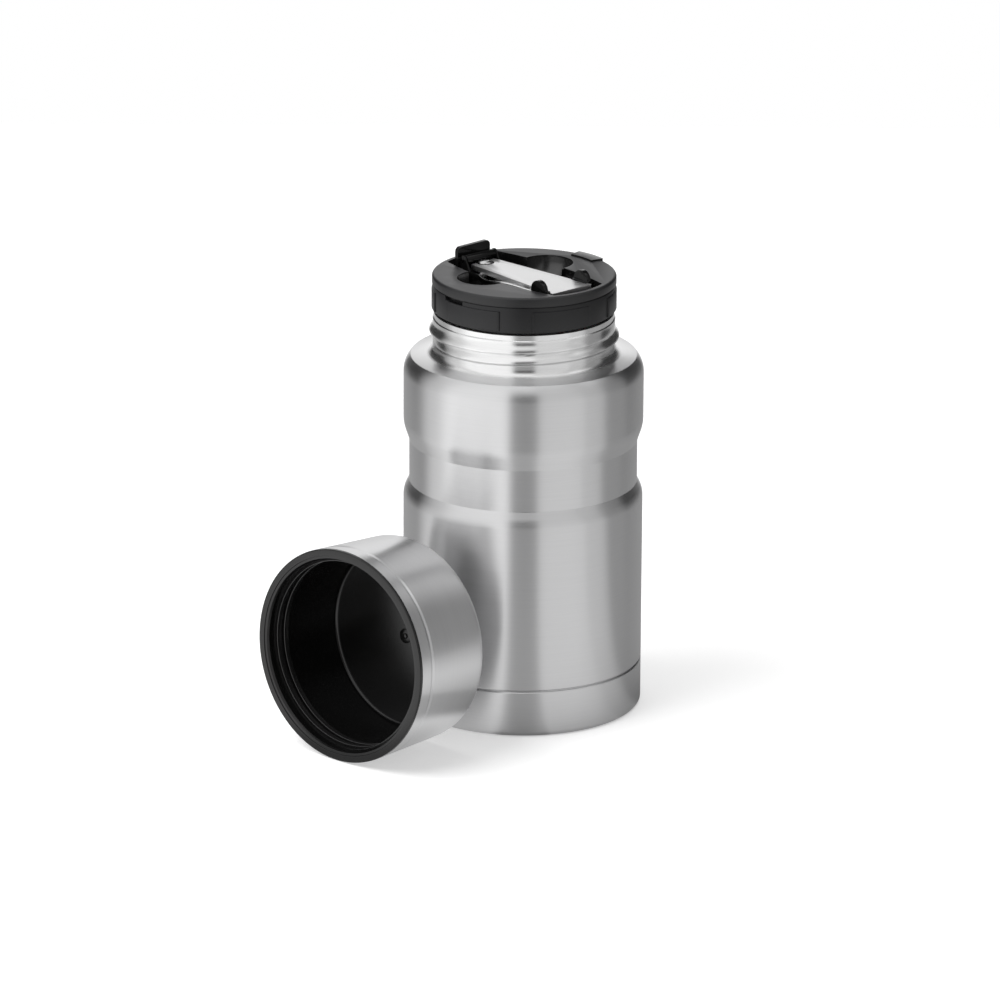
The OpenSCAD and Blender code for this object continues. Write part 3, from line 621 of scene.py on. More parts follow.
# %% [markdown]
# ## Moulded plastics
# The stopper is moulded black plastic with a satin skin: its faces have a very fine grain that softens a
# reflection, and handling leaves the edges a little smoother. Two scales of noise do both. The thumb plate
# and the recess are the same plastic polished and darker; in the recess that darker colour is painted shade.
# The finger hollows get a lighter, shinier copy, which is a painted highlight. The cap's liner is a little
# darker and glossier, and its thread rib gets a lighter, shinier copy of that plastic, also a painted
# highlight. The gasket is soft milky silicone, so it lets some light in.

# %% Plastics, silicone and foam
def moulded(name, dark, light, smooth, rough, grain=9000.0, dent=0.05, ior=1.5, shine=0.5):
    finish, tree, shader = new_finish(name)
    place = node_of(tree, "ShaderNodeTexCoord").outputs["Object"]
    cloudy = speckle(tree, place, 55.0, 4.0)
    fine = speckle(tree, place, grain, 2.0)
    level = mixed(tree, Maths(tree).shares(cloudy, 0.6, fine, 0.4), smooth, rough)
    set_inputs(shader, Base_Color=mixed(tree, cloudy, dark, light), Roughness=level, IOR=ior,
               Specular_IOR_Level=shine)
    dented(tree, shader, fine, dent, 0.00005)
    return finish


def grey(dark, light):
    return (dark,) * 3, (light,) * 3


satin_black = moulded("satin_black_plastic", (0.010, 0.010, 0.011), (0.017, 0.017, 0.018), 0.33, 0.46)
ring_black = moulded("grip_ring_plastic", (0.009, 0.009, 0.010), (0.015, 0.015, 0.016), 0.33, 0.46,
                     shine=0.42)
gloss_black = moulded("gloss_black_plastic", *grey(0.003, 0.006), 0.12, 0.22, dent=0.02, shine=0.24)
# Darker polished plastic: in the recess its darker colour is painted shade; the ears and the tab share it.
polished_black_recess_shade = moulded("polished_recess_plastic", *grey(0.003, 0.005), 0.14, 0.20, dent=0.02, shine=0.34)
# A lighter, shinier copy of the stopper plastic for the finger hollows: a painted highlight on their walls.
hollow_painted_highlight_black = moulded("finger_hollow_plastic", *grey(0.008, 0.014), 0.20, 0.30, dent=0.02, shine=1.0)
liner_black = moulded("cap_liner_plastic", *grey(0.003, 0.007), 0.18, 0.27)
# A lighter, shinier copy of the liner's plastic for the thread rib: a painted highlight.
rib_painted_highlight_black = moulded("cap_thread_plastic", *grey(0.010, 0.018), 0.16, 0.24, shine=1.0)
plug_grey = moulded("plug_plastic", (0.022, 0.022, 0.024), (0.034, 0.034, 0.036), 0.34, 0.50)
silicone = moulded("milky_silicone", (0.62, 0.62, 0.60), (0.70, 0.70, 0.68), 0.40, 0.55, dent=0.03, ior=1.41)
set_inputs(silicone.node_tree.nodes["Principled BSDF"], Subsurface_Weight=0.25, Subsurface_Scale=0.002)
foam = moulded("pale_foam", (0.78, 0.74, 0.62), (0.88, 0.85, 0.74), 0.8, 0.95, grain=2200.0, dent=0.6)
plastics = [finish.name for finish in bpy.data.materials if "plastic" in finish.name]
print("plastics:", plastics)

# %% [markdown]
# ## Plain metals
# The spoon is polished steel with faint lengthwise marks, so it mirrors the white room. Its handle is duller,
# because a mirror there would show the black thumb plate. Its steel is also a little lighter, and the bowl's
# rolled rim gets the same lighter steel: there it is a painted highlight. The parts inside the vacuum have
# finishes of their own: copper-coloured foil with creases, dull solder, and a pressed powder tablet. Those
# parts keep their CAD meshes.

# %% Polished and dull metals
def plain_metal(name, light, dark, smooth, rough, scale=(300.0, 300.0, 300.0), dent=0.05, turn=0.0):
    finish, tree, shader = new_finish(name)
    place = node_of(tree, "ShaderNodeTexCoord").outputs["Object"]
    drawn = node_of(tree, "ShaderNodeMapping", {"Vector": place, "Rotation": (0, 0, turn), "Scale": scale})
    marks = speckle(tree, drawn.outputs["Vector"], 1.0)
    both = Maths(tree).shares(marks, 0.6, speckle(tree, place, 90.0), 0.4)
    set_inputs(shader, Base_Color=mixed(tree, both, dark, light), Metallic=1.0,
               Roughness=mixed(tree, both, smooth, rough))
    dented(tree, shader, marks, dent, 0.00003)
    return finish


SPOON_AZ = math.radians(-48)
LENGTHWISE = {"scale": (150.0, 3500.0, 900.0), "dent": 0.03, "turn": -SPOON_AZ}
spoon_steel = plain_metal("polished_spoon_steel", (0.80, 0.80, 0.80), (0.74, 0.74, 0.745), 0.10, 0.20,
                          **LENGTHWISE)
handle_and_rim_highlight_steel = plain_metal("satin_handle_steel", (0.90, 0.90, 0.90), (0.83, 0.83, 0.835), 0.36, 0.46,
                           **LENGTHWISE)
rivet_steel = plain_metal("rivet_head_steel", (0.66, 0.66, 0.66), (0.56, 0.56, 0.565), 0.16, 0.26,
                          (900.0, 900.0, 900.0), 0.03)
copper_foil = plain_metal("copper_foil", (0.86, 0.55, 0.38), (0.74, 0.44, 0.29), 0.22, 0.42,
                          (420.0, 420.0, 160.0), 0.5)
dull_solder = plain_metal("dull_solder", (0.50, 0.50, 0.47), (0.36, 0.36, 0.34), 0.45, 0.65)
tablet = moulded("getter_powder", (0.20, 0.19, 0.17), (0.32, 0.30, 0.27), 0.7, 0.9, grain=3000.0, dent=0.5)
pressed_steel = brushed_steel("pressed_bottom_steel", (0.70, 0.70, 0.70), (0.60, 0.60, 0.60), 0.30, 0.45, 0.6)
for node, finish in {"reflector_foil": copper_foil, "vacuum_seal": dull_solder, "getter": tablet,
                     "outer_bottom": pressed_steel, "stopper_insulation": foam,
                     "hinge_pin": spoon_steel}.items():
    frame["nodes"][node].data.materials.clear()
    frame["nodes"][node].data.materials.append(finish)
    print(node, "is finished in", finish.name)

# %% [markdown]
# ## The plug that seals the mouth
# Below the disc hang a plug with a groove for its gasket and three bayonet lugs, and a
# rounded cover under it. They show when the stopper is lifted out. All are turned, and
# the lugs come from the same repeating tree as the liner's.

# %% Plug, cover and gasket
DISC_Z, PLUG_R, PLUG_LOW = 178.8, 32.5, 136.0
stopper_frame = Matrix.Translation((0, 0, DISC_Z)) @ Matrix.Rotation(SPOON_AZ, 4, "Z")
plug_body = turned("plug_body", [
    (29.9, PLUG_LOW), (PLUG_R - 0.3, PLUG_LOW), (PLUG_R, PLUG_LOW + 0.3), (PLUG_R, 159.3),
    (PLUG_R - 0.3, 159.6), (31.4, 159.6), (31.4, 163.1), (PLUG_R - 0.3, 163.1), (PLUG_R, 163.35),
    (PLUG_R, 163.5), (34.6, 163.5), (34.85, 163.75), (34.85, 166.0), (29.9, 166.0)],
    plug_grey)
plug_lug = pad_on_ring("plug_lug", 31.2, MOUTH_R - 0.3, 148.3, 150.5, 24, 0.25)
grow(plug_lug, AROUND, plug_grey, Count=3, First_angle=60.0)
plug_skin = joined("stopper_plug_skin", plug_body, plug_lug)
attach(plug_skin, "stopper")
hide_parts("stopper_plug")

COVER_LINE = [(0, 133.6, 0), (PLUG_R, 133.6, 1.2), (PLUG_R, PLUG_LOW, 0), (29.85, PLUG_LOW, 0),
              (29.85, 137.8, 0), (0, 137.8, 0)]
cover = turned("bottom_cover_skin", rounded(COVER_LINE), plug_grey)
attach(cover, "stopper")
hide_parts("stopper_bottom_cover")

gasket = turned("gasket_skin", rounded(
    [(31.7, 159.9, 0), (33.7, 159.9, 0.72), (33.7, 162.8, 0.72), (31.7, 162.8, 0)], 8), silicone)
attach(gasket, "seal")
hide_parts("stopper_gasket")

# %% [markdown]
# ## The grip ring
# Fingers turn the stopper by a ring under its disc. It is a turned band with six raised
# panels, evenly spaced, and two shallow windows in its upper edge. The band is turned
# with extra columns at the windows' ends, so that its edge drops there in a clean step.
# The panels repeat, so one rounded block is set six times by the tree.

# %% Grip ring
RING_IN, RING_OUT, PANEL_OUT = 34.9, 36.35, 36.85
RING_TOP, RING_LOW, WINDOW_DROP = -4.2, -14.4, 1.7
PANEL_WIDE, PANEL_FIRST = 39.6, -17.3
WINDOWS = [(90 - 2.5, 17), (-90 - 2.5, 17)]


def in_window(angle):
    return any(abs((angle - mid + 180) % 360 - 180) < wide / 2 for mid, wide in WINDOWS)


def ring_with_windows(name, r_in, r_out, low, high, drop, place):
    angles = {round(360 * j / 180, 3) for j in range(180)}
    for mid, wide in WINDOWS:
        for end in (mid - wide / 2, mid + wide / 2):
            angles |= {round((end - 0.12) % 360, 3), round((end + 0.12) % 360, 3)}
    points = []
    for angle in sorted(angles):
        top = high - (drop if in_window(angle) else 0)
        section = [(r_in, low + 0.25), (r_in + 0.25, low), (r_out - 0.35, low), (r_out - 0.1, low + 0.1),
                   (r_out, low + 0.35), (r_out, top - 0.3), (r_out - 0.09, top - 0.09), (r_out - 0.3, top),
                   (r_in + 0.2, top), (r_in, top - 0.2)]
        at = math.radians(angle)
        points += [(r * math.cos(at), r * math.sin(at), z) for r, z in section]
    return skin(name, points, banded(len(section), len(angles), closed=True), ring_black, place, 40)


ring_band = ring_with_windows("ring_band", RING_IN, RING_OUT, RING_LOW, RING_TOP, WINDOW_DROP, stopper_frame)
panel = pad_on_ring("panel", RING_IN + 0.5, PANEL_OUT, RING_LOW + 0.5, RING_TOP - WINDOW_DROP,
                    PANEL_WIDE, 0.28, Matrix.Translation((0, 0, DISC_Z)))
grow(panel, AROUND, ring_black, Count=6, First_angle=math.degrees(SPOON_AZ) + PANEL_FIRST)
grip_ring = joined("grip_ring_skin", ring_band, panel)
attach(grip_ring, "stopper")
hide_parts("grip_ring")

# %% [markdown]
# ## The stopper's disc
# The disc has the spoon's recess, two finger hollows, two ears that hold the handle and a
# tab on its rim. That outline can't be turned, and cutting it again with booleans would
# repeat what the CAD model has done exactly. So a copy of the CAD mesh is merged, its
# flat faces are made whole, and a Bevel modifier gives every edge the small radius that a
# mould leaves. Those edges catch thin lines of light.

# %% Soften a copy of a CAD node
def softened(node, name, width, finish, segments=3, merge=2e-6, flat=0.6, angle=28):
    copy = bmesh.new()
    copy.from_mesh(frame["nodes"][node].data)
    bmesh.ops.remove_doubles(copy, verts=copy.verts, dist=merge)
    bmesh.ops.dissolve_limit(copy, angle_limit=math.radians(flat), verts=copy.verts, edges=copy.edges)
    mesh = mesh_from(copy, name)
    mesh.shade_smooth()
    mesh.materials.append(finish)
    piece = shown(name, mesh)
    bevel = piece.modifiers.new("mould radius", "BEVEL")
    bevel.width, bevel.segments, bevel.limit_method = width * MM, segments, "ANGLE"
    bevel.angle_limit = math.radians(angle)
    bevel.use_clamp_overlap = True
    bevel.harden_normals = True
    bevel.miter_outer = "MITER_ARC"
    return settled(piece)


disc = softened("stopper_top", "stopper_disc", 0.22, satin_black)

# %% [markdown]
# The disc's top is satin, but the recess, the ears and the tab are polished and given a darker colour. In the
# recess that darker colour is painted shade. A second disc for them would need a seam, so each face simply
# picks one of two finishes by where it lies.

# %% Polished places of the disc, with painted shade in its recess
disc.data.materials.append(polished_black_recess_shade)
RECESS_R, TAB_PLACE, TAB_REACH = 34.0, (27.0, 16.5), 6.5
# Sunk faces in the recess take the darker copy, which paints the recess's shade.
for face in disc.data.polygons:
    x, y, z = face.center / MM
    sunk_painted_shade = z < DISC_Z - 0.35 and math.hypot(x, y) < RECESS_R
    on_tab = z > DISC_Z - 1.5 and math.dist((x, y), TAB_PLACE) < TAB_REACH
    face.material_index = int(sunk_painted_shade or on_tab or z > DISC_Z + 0.15)
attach(disc, "stopper")
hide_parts("stopper_top")
print("polished faces in the disc:", sum(face.material_index for face in disc.data.polygons))

# %% [markdown]
# Two hollows beside the spoon let a finger in. The photograph shows a soft sloping highlight in the rear one,
# so its wall is dished. A wedge that thickens downwards and runs out at both ends stands in each hollow:
# columns of points round the hollow's circle, each leaning further in towards its foot. The wedges also get a
# lighter, shinier copy of the stopper's plastic, which paints part of that highlight.

# %% Dished walls in the finger hollows
HOLLOW_X, HOLLOW_Y, HOLLOW_R = -5.3, 17.0, 10.45
HOLLOW_TOP, HOLLOW_LOW, LEAN = -0.5, -11.2, 5.2
SCOOP_FROM, SCOOP_SPAN, SCOOP_STEPS, DOWN_STEPS = -8, 196, 40, 8


def scoop(name, side):
    """The wedge of one hollow. side is 1 for the rear one and -1 for the front one."""
    points = []
    for j in range(SCOOP_STEPS + 1):
        at = math.radians(SCOOP_FROM + SCOOP_SPAN * j / SCOOP_STEPS) * side
        full = math.sin(math.pi * j / SCOOP_STEPS) ** 0.5
        column = [(HOLLOW_R, HOLLOW_LOW), (HOLLOW_R, HOLLOW_TOP)]
        for k in range(1, DOWN_STEPS + 1):
            dip = k / DOWN_STEPS
            column.append((HOLLOW_R - full * LEAN * dip ** 1.5 - 0.02,
                           HOLLOW_TOP + (HOLLOW_LOW - HOLLOW_TOP) * dip ** 0.8))
        for r, z in column:
            points.append((HOLLOW_X + r * math.cos(at), side * HOLLOW_Y + r * math.sin(at), z))
    faces = banded(len(column), SCOOP_STEPS + 1)
    if side < 0:
        faces = [face[::-1] for face in faces]
    # The wedges take the lighter, shinier plastic: a painted highlight.
    return skin(name, points, faces, hollow_painted_highlight_black, stopper_frame, 35)


scoops = joined("finger_scoops", scoop("scoop_rear", 1), scoop("scoop_front", -1))
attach(scoops, "stopper")

# %% [markdown]
# ## The folding spoon's handle
# The handle is a steel channel, its hinge end riveted to a black thumb plate. Both are
# softened copies of their CAD nodes, because their notches and folds are already right
# there. The plate's near end reaches a little further out in the photograph, so the
# copy's end points are moved there.

# %% Handle and thumb plate
HINGE_X, PIN_UP, RIM_TOP = -27.065, 0.8, -3.15
PLATE_REACH, PLATE_DIP = 2.2, 0.3
handle = softened("spoon_handle", "handle_skin", 0.28, handle_and_rim_highlight_steel)
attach(handle, "handle")
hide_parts("spoon_handle")

thumb = softened("thumb_plate", "thumb_plate_skin", 0.3, gloss_black)
to_stopper = stopper_frame.inverted()
for corner in thumb.data.vertices:
    x, y, z = to_stopper @ (corner.co / MM)
    if x < HINGE_X - 1.6 and y < -5.0:
        corner.co = (stopper_frame @ Vector((x, y - PLATE_REACH, z - PLATE_DIP * (z > 3)))) * MM
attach(thumb, "handle")
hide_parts("thumb_plate")

# %% [markdown]
# ## The spoon's bowl
# The bowl is pressed from sheet. It is made of rings that follow an egg-shaped rule, so its
# inside mirrors smoothly: a sculpted bowl would show every dent. The bowl is a little
# fuller at both sides, and in front, beside the handle, its rim rises almost to the
# disc's top face, where the photograph shows a bright line.

# %% Press the bowl
BOWL_X, BOWL_A, BOWL_B, BOWL_DEEP, BOWL_T = 0.935, 23.9, 12.8, 7.7, 0.8
CHEEK_AT, CHEEK_OUT, BOWL_RISE = math.radians(80), 2.2, 2.8
CHEEK_POWER, RISE_POWER, RISE_FADE = 12, 8, 6
EGG, FULLNESS = 0.1, 0.72
BOWL_SIDES, LIP = 96, 0.25


def bowl_ring(inset, share, height):
    """One ring of the bowl: inset from its outline, shrunk to a share, at a height."""
    a, b, ring = BOWL_A - inset, BOWL_B - inset, []
    for j in range(BOWL_SIDES):
        at = 2 * math.pi * j / BOWL_SIDES
        rear, front = (max(0.0, math.cos(at - turn)) for turn in (CHEEK_AT, -CHEEK_AT))
        cheek = CHEEK_OUT * share * (rear ** CHEEK_POWER - front ** CHEEK_POWER)
        ring.append((BOWL_X + a * share * math.cos(at),
                     b * share * math.sin(at) * (1 - EGG * math.cos(at)) + cheek,
                     height + BOWL_RISE * front ** RISE_POWER * share ** RISE_FADE))
    return ring


def bowl_face(inset, deep, rings=22):
    """Rings from the rim down to just above the lowest point."""
    turns = [math.pi / 2 * i / rings for i in range(rings)]
    return [bowl_ring(inset, math.cos(t) ** FULLNESS, RIM_TOP - LIP - (deep - LIP) * math.sin(t))
            for t in turns]


def pressed_bowl(name):
    rim = [bowl_ring(inset, 1, RIM_TOP - down) for inset, down in
           ((0.08, 0.08), (LIP, 0.0), (BOWL_T - LIP, 0.0), (BOWL_T - 0.08, 0.08))]
    chain = bowl_face(0, BOWL_DEEP)[::-1] + rim + bowl_face(BOWL_T, BOWL_DEEP - BOWL_T)
    points = [(BOWL_X, 0, RIM_TOP - BOWL_DEEP)]
    for ring in chain:
        points += ring
    points.append((BOWL_X, 0, RIM_TOP - BOWL_DEEP + BOWL_T))
    faces, last = [], 1 + (len(chain) - 1) * BOWL_SIDES
    for j in range(BOWL_SIDES):
        k = (j + 1) % BOWL_SIDES
        faces.append((0, 1 + k, 1 + j))
        for a in range(1, last, BOWL_SIDES):
            b = a + BOWL_SIDES
            faces.append((a + j, a + k, b + k, b + j))
        faces.append((last + j, last + k, len(points) - 1))
    return skin(name, points, faces, spoon_steel, stopper_frame, 60)


bowl = pressed_bowl("bowl_sheet")

# %% [markdown]
# A plain sheet edge is too thin to catch the light in front. The risen rim is rolled into a wire there: a
# tree sweeps a small circle along the points that it is given. A curve object with a bevel would do the same,
# but a tree keeps the radius as a named input. The wire gets the handle's lighter steel, so its bright line
# is partly a painted highlight.

# %% The rolled edge of the bowl
def rolled_edge():
    """A round wire swept along the line that it is given."""
    tree, given = new_growth("rolled edge", Radius=0.0005)
    path = node_of(tree, "GeometryNodeMeshToCurve", {"Mesh": given["Geometry"]})
    section = node_of(tree, "GeometryNodeCurvePrimitiveCircle", {"Resolution": 14, "Radius": given["Radius"]})
    sweep = node_of(tree, "GeometryNodeCurveToMesh", {
        "Curve": path.outputs[0], "Profile Curve": section.outputs[0], "Fill Caps": True})
    return end_growth(tree, sweep.outputs[0], given["Finish"])


EDGE_FROM, EDGE_TO = (round(BOWL_SIDES * (1 - at / 360)) for at in (86, 20))
WIRE_R, WIRE_DROP = 0.48, 0.35
rim_ring = bowl_ring(BOWL_T / 2, 1, RIM_TOP - WIRE_DROP)
line = [stopper_frame @ Vector(p) * MM for p in rim_ring[EDGE_FROM:EDGE_TO + 1]]
line_mesh = bpy.data.meshes.new("bowl_edge")
line_mesh.from_pydata(line, [(j, j + 1) for j in range(len(line) - 1)], [])
bowl_edge = shown("bowl_edge", line_mesh)
# The wire takes the handle's lighter steel: partly a painted highlight along the rim.
grow(bowl_edge, rolled_edge(), handle_and_rim_highlight_steel, Radius=WIRE_R * MM)
bowl_edge.data.shade_smooth()
spoon = joined("spoon_bowl_skin", bowl, bowl_edge)
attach(spoon, "spoon")
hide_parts("spoon_bowl")
print("the rolled edge follows", len(line), "points of the rim")

# %% [markdown]
# Two arms with round ends carry the hinge's pin. They are flat, so each is one outline
# given a thickness, and its edges are softened. They look black in the photograph.

# %% Hinge ears
def slab(name, outline, thick, place, edge=0.2):
    """An outline in x and z, given a thickness along y, with softened edges."""
    shape = bmesh.new()
    near = [shape.verts.new((x, 0, z)) for x, z in outline]
    far = [shape.verts.new((x, thick, z)) for x, z in outline]
    shape.faces.new(near)
    shape.faces.new(far[::-1])
    for i in range(len(near)):
        k = (i + 1) % len(near)
        shape.faces.new((near[k], near[i], far[i], far[k]))
    bmesh.ops.recalc_face_normals(shape, faces=shape.faces)
    rims = [e for e in shape.edges if abs(e.verts[0].co.y - e.verts[1].co.y) < 1e-6]
    bmesh.ops.bevel(shape, geom=rims, offset=edge, segments=2, affect="EDGES", profile=0.5)
    shape.transform(Matrix.Scale(MM, 4) @ place)
    return shaded(mesh_from(shape, name), gloss_black, 40)


ROUND_END = [math.radians(a) for a in range(0, 181, 12)]
ARM = [(HINGE_X - 2 * math.cos(a), PIN_UP + 2 * math.sin(a)) for a in ROUND_END]
ARM += [(HINGE_X + 4, RIM_TOP), (HINGE_X + 11.5, RIM_TOP), (HINGE_X + 11.5, RIM_TOP - 1.6),
        (HINGE_X + 2, RIM_TOP - 1.6), (HINGE_X - 1, RIM_TOP - 0.8)]
ears = [slab(f"ear_{side}", ARM, 0.9, stopper_frame @ Matrix.Translation((0, near, 0)))
        for side, near in (("left", 7.8), ("right", -8.7))]
ears = joined("hinge_ears", *ears)
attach(ears, "spoon")

# %% [markdown]
# The rivet's domed head mirrors the room. A thin black ring under its edge is painted shade: it stands for
# the dark gap that a real head leaves to the sheet. Both are turned.

# %% Rivet
rivet_place = stopper_frame @ Matrix.Translation((HINGE_X + 4.2, -0.5, 0))
rivet = turned("rivet_skin", [
    (0, -2.85), (1.6, -2.85), (1.8, -2.7), (1.8, -2.4), (1.3, -2.4), (1.3, -0.6), (3.0, -0.6),
    (3.0, -0.35), (2.85, -0.1), (2.4, 0.15), (1.4, 0.38), (0, 0.46)],
    rivet_steel, columns=64, place=rivet_place, sharp=50)
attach(rivet, "handle")
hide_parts("handle_rivet")

# The black ring is painted shade for the gap under the rivet's head.
painted_shade_ring = turned("rivet_painted_shade_ring", [(2.7, -0.64), (3.75, -0.64), (3.75, -0.57), (3.6, -0.53), (2.7, -0.53)],
                  gloss_black, columns=64, place=rivet_place, sharp=50)
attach(painted_shade_ring, "handle")

# %% [markdown]
# ## The screw cap
# The cap is a steel cup pressed over a plastic liner. It lies on its rim and its end edge,
# so its axis is tilted by its taper. All of it is turned in the cap's own frame, mouth at
# zero, and then laid on the table by one matrix. The same place and turn go into the
# steel, so that the brushing runs round the cap's axis.

# %% Cap shell
CAP_RIM, CAP_END, CAP_LEN, CAP_WALL = 43.1, 41.3, 41.0, 0.6
CAP_TILT = math.atan((CAP_RIM - CAP_END) / CAP_LEN)
CAP_FAR, CAP_BEARING = 103.7, math.radians(225.9)
CAP_PLACE = (CAP_FAR * math.cos(CAP_BEARING), CAP_FAR * math.sin(CAP_BEARING), CAP_RIM * math.cos(CAP_TILT))
CAP_TURN = (0.0, math.pi / 2 + CAP_TILT, math.radians(49.1))
cap_turning = Matrix.Rotation(CAP_TURN[2], 4, "Z") @ Matrix.Rotation(CAP_TURN[1], 4, "Y")
cap_frame = Matrix.Translation(CAP_PLACE) @ cap_turning
cap_steel = brushed_steel("brushed_cap_steel", (0.76, 0.76, 0.765), (0.66, 0.66, 0.665), 0.24, 0.38,
                          centre=[v * MM for v in CAP_PLACE], tilt=CAP_TURN)


def cap_r(z):
    return CAP_RIM - (CAP_RIM - CAP_END) * z / CAP_LEN


CAP_LINE = [(cap_r(1.2), 1.2, 0), (cap_r(6.3), 6.3, 1.0), (cap_r(7.4) - 0.3, 7.4, 0.7),
            (cap_r(8.5), 8.5, 1.0), (CAP_END, CAP_LEN, 4.5), (0, CAP_LEN, 0)]
cap_shell = turned("cap_shell_skin", walled(CAP_LINE, CAP_WALL), cap_steel, 240, cap_frame)
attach(cap_shell, "cap")
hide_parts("cap_shell")

# %% [markdown]
# The liner has a flat lip with a small step inside, a smooth bore and a flat floor. On the
# floor stands the mark where the plastic entered the mould. Both are turned.

# %% The cap's liner and its gate mark
BORE, FLOOR, LINER_EDGE = 38.7, 39.4, CAP_RIM - 0.15
liner_front = rounded([
    (LINER_EDGE, 1.15, 0), (LINER_EDGE, 0, 0.45), (BORE + 1.6, 0, 0.15), (BORE + 1.45, 0.45, 0.12),
    (BORE + 0.5, 0.5, 0.2), (BORE, 1.5, 0.3), (BORE - 1.2, FLOOR, 1.6), (0, FLOOR, 0)])
liner_back = [(0, 40.35), (36.3, 40.35), (38.9, 37.75), (40.1, 1.2), (LINER_EDGE, 1.2)]
cap_body = turned("cap_body", liner_front + liner_back, liner_black, 200, cap_frame)
gate_mark = turned("gate_mark", [
    (0, FLOOR + 0.5), (3, FLOOR + 0.5), (3, FLOOR - 0.15), (2.9, FLOOR - 0.25), (1.1, FLOOR - 0.25),
    (1.1, FLOOR - 0.65), (0.95, FLOOR - 0.8), (0, FLOOR - 0.8)], liner_black, 48, cap_frame, sharp=50)

# %% [markdown]
# ## The cap's thread
# A rib winds round inside the liner. A tree sweeps a small trapezium with soft corners
# along a spiral, and thins it at both ends, as the mould does. The jar's thread was made
# by moving points, but this rib has steep sides, and a sweep keeps them crisp.

# %% The wound rib as a tree
def wound_rib():
    tree, given = new_growth("wound rib", Radius=0.0386, Pitch=0.0041, Turns=2.3, Height=0.0012,
                             Foot=0.003, Crest=0.0008, Run_out=0.05, Corner=0.00018)
    m = Maths(tree)
    spiral = node_of(tree, "GeometryNodeCurveSpiral", {
        "Resolution": 96, "Rotations": given["Turns"], "Start Radius": given["Radius"],
        "End Radius": given["Radius"], "Height": m.multiply(given["Turns"], given["Pitch"])})
    path = node_of(tree, "GeometryNodeSetCurveNormal", {"Curve": spiral.outputs[0]}, mode="Z_UP")
    along = node_of(tree, "GeometryNodeSplineParameter").outputs["Factor"]
    near_end = m.minimum(along, m.subtract(1.0, along))
    thin = m.maximum(m.minimum(m.divide(near_end, given["Run_out"]), 1.0), 0.05)
    section = node_of(tree, "GeometryNodeCurvePrimitiveQuadrilateral", {
        "Bottom Width": given["Foot"], "Top Width": given["Crest"], "Height": given["Height"],
        "Offset": 0.0}, mode="TRAPEZOID")
    soft = node_of(tree, "GeometryNodeFilletCurve", {
        "Curve": section.outputs[0], "Count": 3, "Radius": given["Corner"]}, mode="POLY")
    spun = node_of(tree, "GeometryNodeTransform", {
        "Geometry": soft.outputs[0], "Rotation": (0, 0, math.radians(90))})
    sweep = node_of(tree, "GeometryNodeCurveToMesh", {
        "Curve": path.outputs[0], "Profile Curve": spun.outputs[0], "Scale": thin, "Fill Caps": True})
    return end_growth(tree, sweep.outputs[0], given["Finish"])


RIB_START = 3.0
rib = skin("rib_seed", [(0, 0, 0), (1, 0, 0), (0, 1, 0)], [(0, 1, 2)])
# The rib takes a lighter, shinier plastic than the liner it is moulded with: a painted highlight.
grow(rib, wound_rib(), rib_painted_highlight_black, Radius=38.25 * MM, Pitch=4.1 * MM, Turns=2.3, Height=1.5 * MM,
     Foot=2.6 * MM, Crest=0.9 * MM, Run_out=0.05, Corner=0.18 * MM)
rib.data.transform(Matrix.Translation([v * MM for v in CAP_PLACE]) @ cap_turning
                   @ Matrix.Translation((0, 0, RIB_START * MM)))
cap_liner = joined("cap_liner_skin", cap_body, rib, gate_mark)
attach(cap_liner, "cap")
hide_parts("cap_liner")

# %% [markdown]
# ## What the metal sees of the room
# Polished metal has no look of its own: it shows the room. A studio could be built of many
# white and black boards, but boards cast shadows and are hard to place. Here each board
# is a card in a list: a range of bearings and of heights, and how white it is there. The
# list has a large bright window on the left, a softer one on the right, dark gaps
# between them, and dark flags to either side behind. A later card covers an earlier one.

# %% Cards in the room
CARDS = [
    # share of white, bearing from and to, height from and to, softness of both
    (0.69, -108, -60, -120, 80, 14, 10),
    (1.05, -82, -13, -120, 80, 22, 10),
    (0.04, -13, 15, -14, 34, 8, 16),
    (0.40, -13, 15, -120, -14, 8, 16),
    (0.70, 15, 54, -120, 66, 3, 12),
    (0.56, 54, 78, -120, 60, 14, 12),
    (0.28, 78, 165, -120, 40, 18, 16),
    (0.35, -165, -105, -120, 40, 16, 16),
    (0.04, 112, 160, -12, 42, 8, 10),
    (0.04, 114, 172, 18, 70, 4, 6),
    (0.04, -160, -116, -12, 42, 8, 10),
]
ROOM_LEVEL = 1.05


def bearing_of(m, east, north):
    """Degrees from the front of the jar, positive to the right."""
    return m.degrees(m.arctan2(east, m.multiply(north, -1.0)))


def room_level(tree, bearing, height):
    """How white the room is in a direction."""
    m, level = Maths(tree), ROOM_LEVEL

    def within(value, low, high, soft):
        return m.subtract(step_up(tree, value, low - soft / 2, low + soft / 2),
                          step_up(tree, value, high - soft / 2, high + soft / 2))

    for white, left, right, low, top, soft, soft_up in CARDS:
        met = m.multiply(within(bearing, left, right, soft), within(height, low, top, soft_up))
        level = mixed(tree, met, level, white)
    return level


def seen_by(tree):
    """Light Path's camera ray, and its mirror and glass rays together."""
    ray = node_of(tree, "ShaderNodeLightPath").outputs
    return ray["Is Camera Ray"], Maths(tree).maximum(ray["Is Glossy Ray"], ray["Is Transmission Ray"])


print("cards in the room:", len(CARDS))

# %% [markdown]
# ## The table
# The table is a plain white sheet. Its shadow has to stay while the rest is white, so its
# paper has a faint glow that only the camera sees, just enough to lift the lit sheet to
# white. In mirrors and glass it shows the room's level for its bearing instead, darker
# near the feet of the jar and the cap, where each shades the sheet.

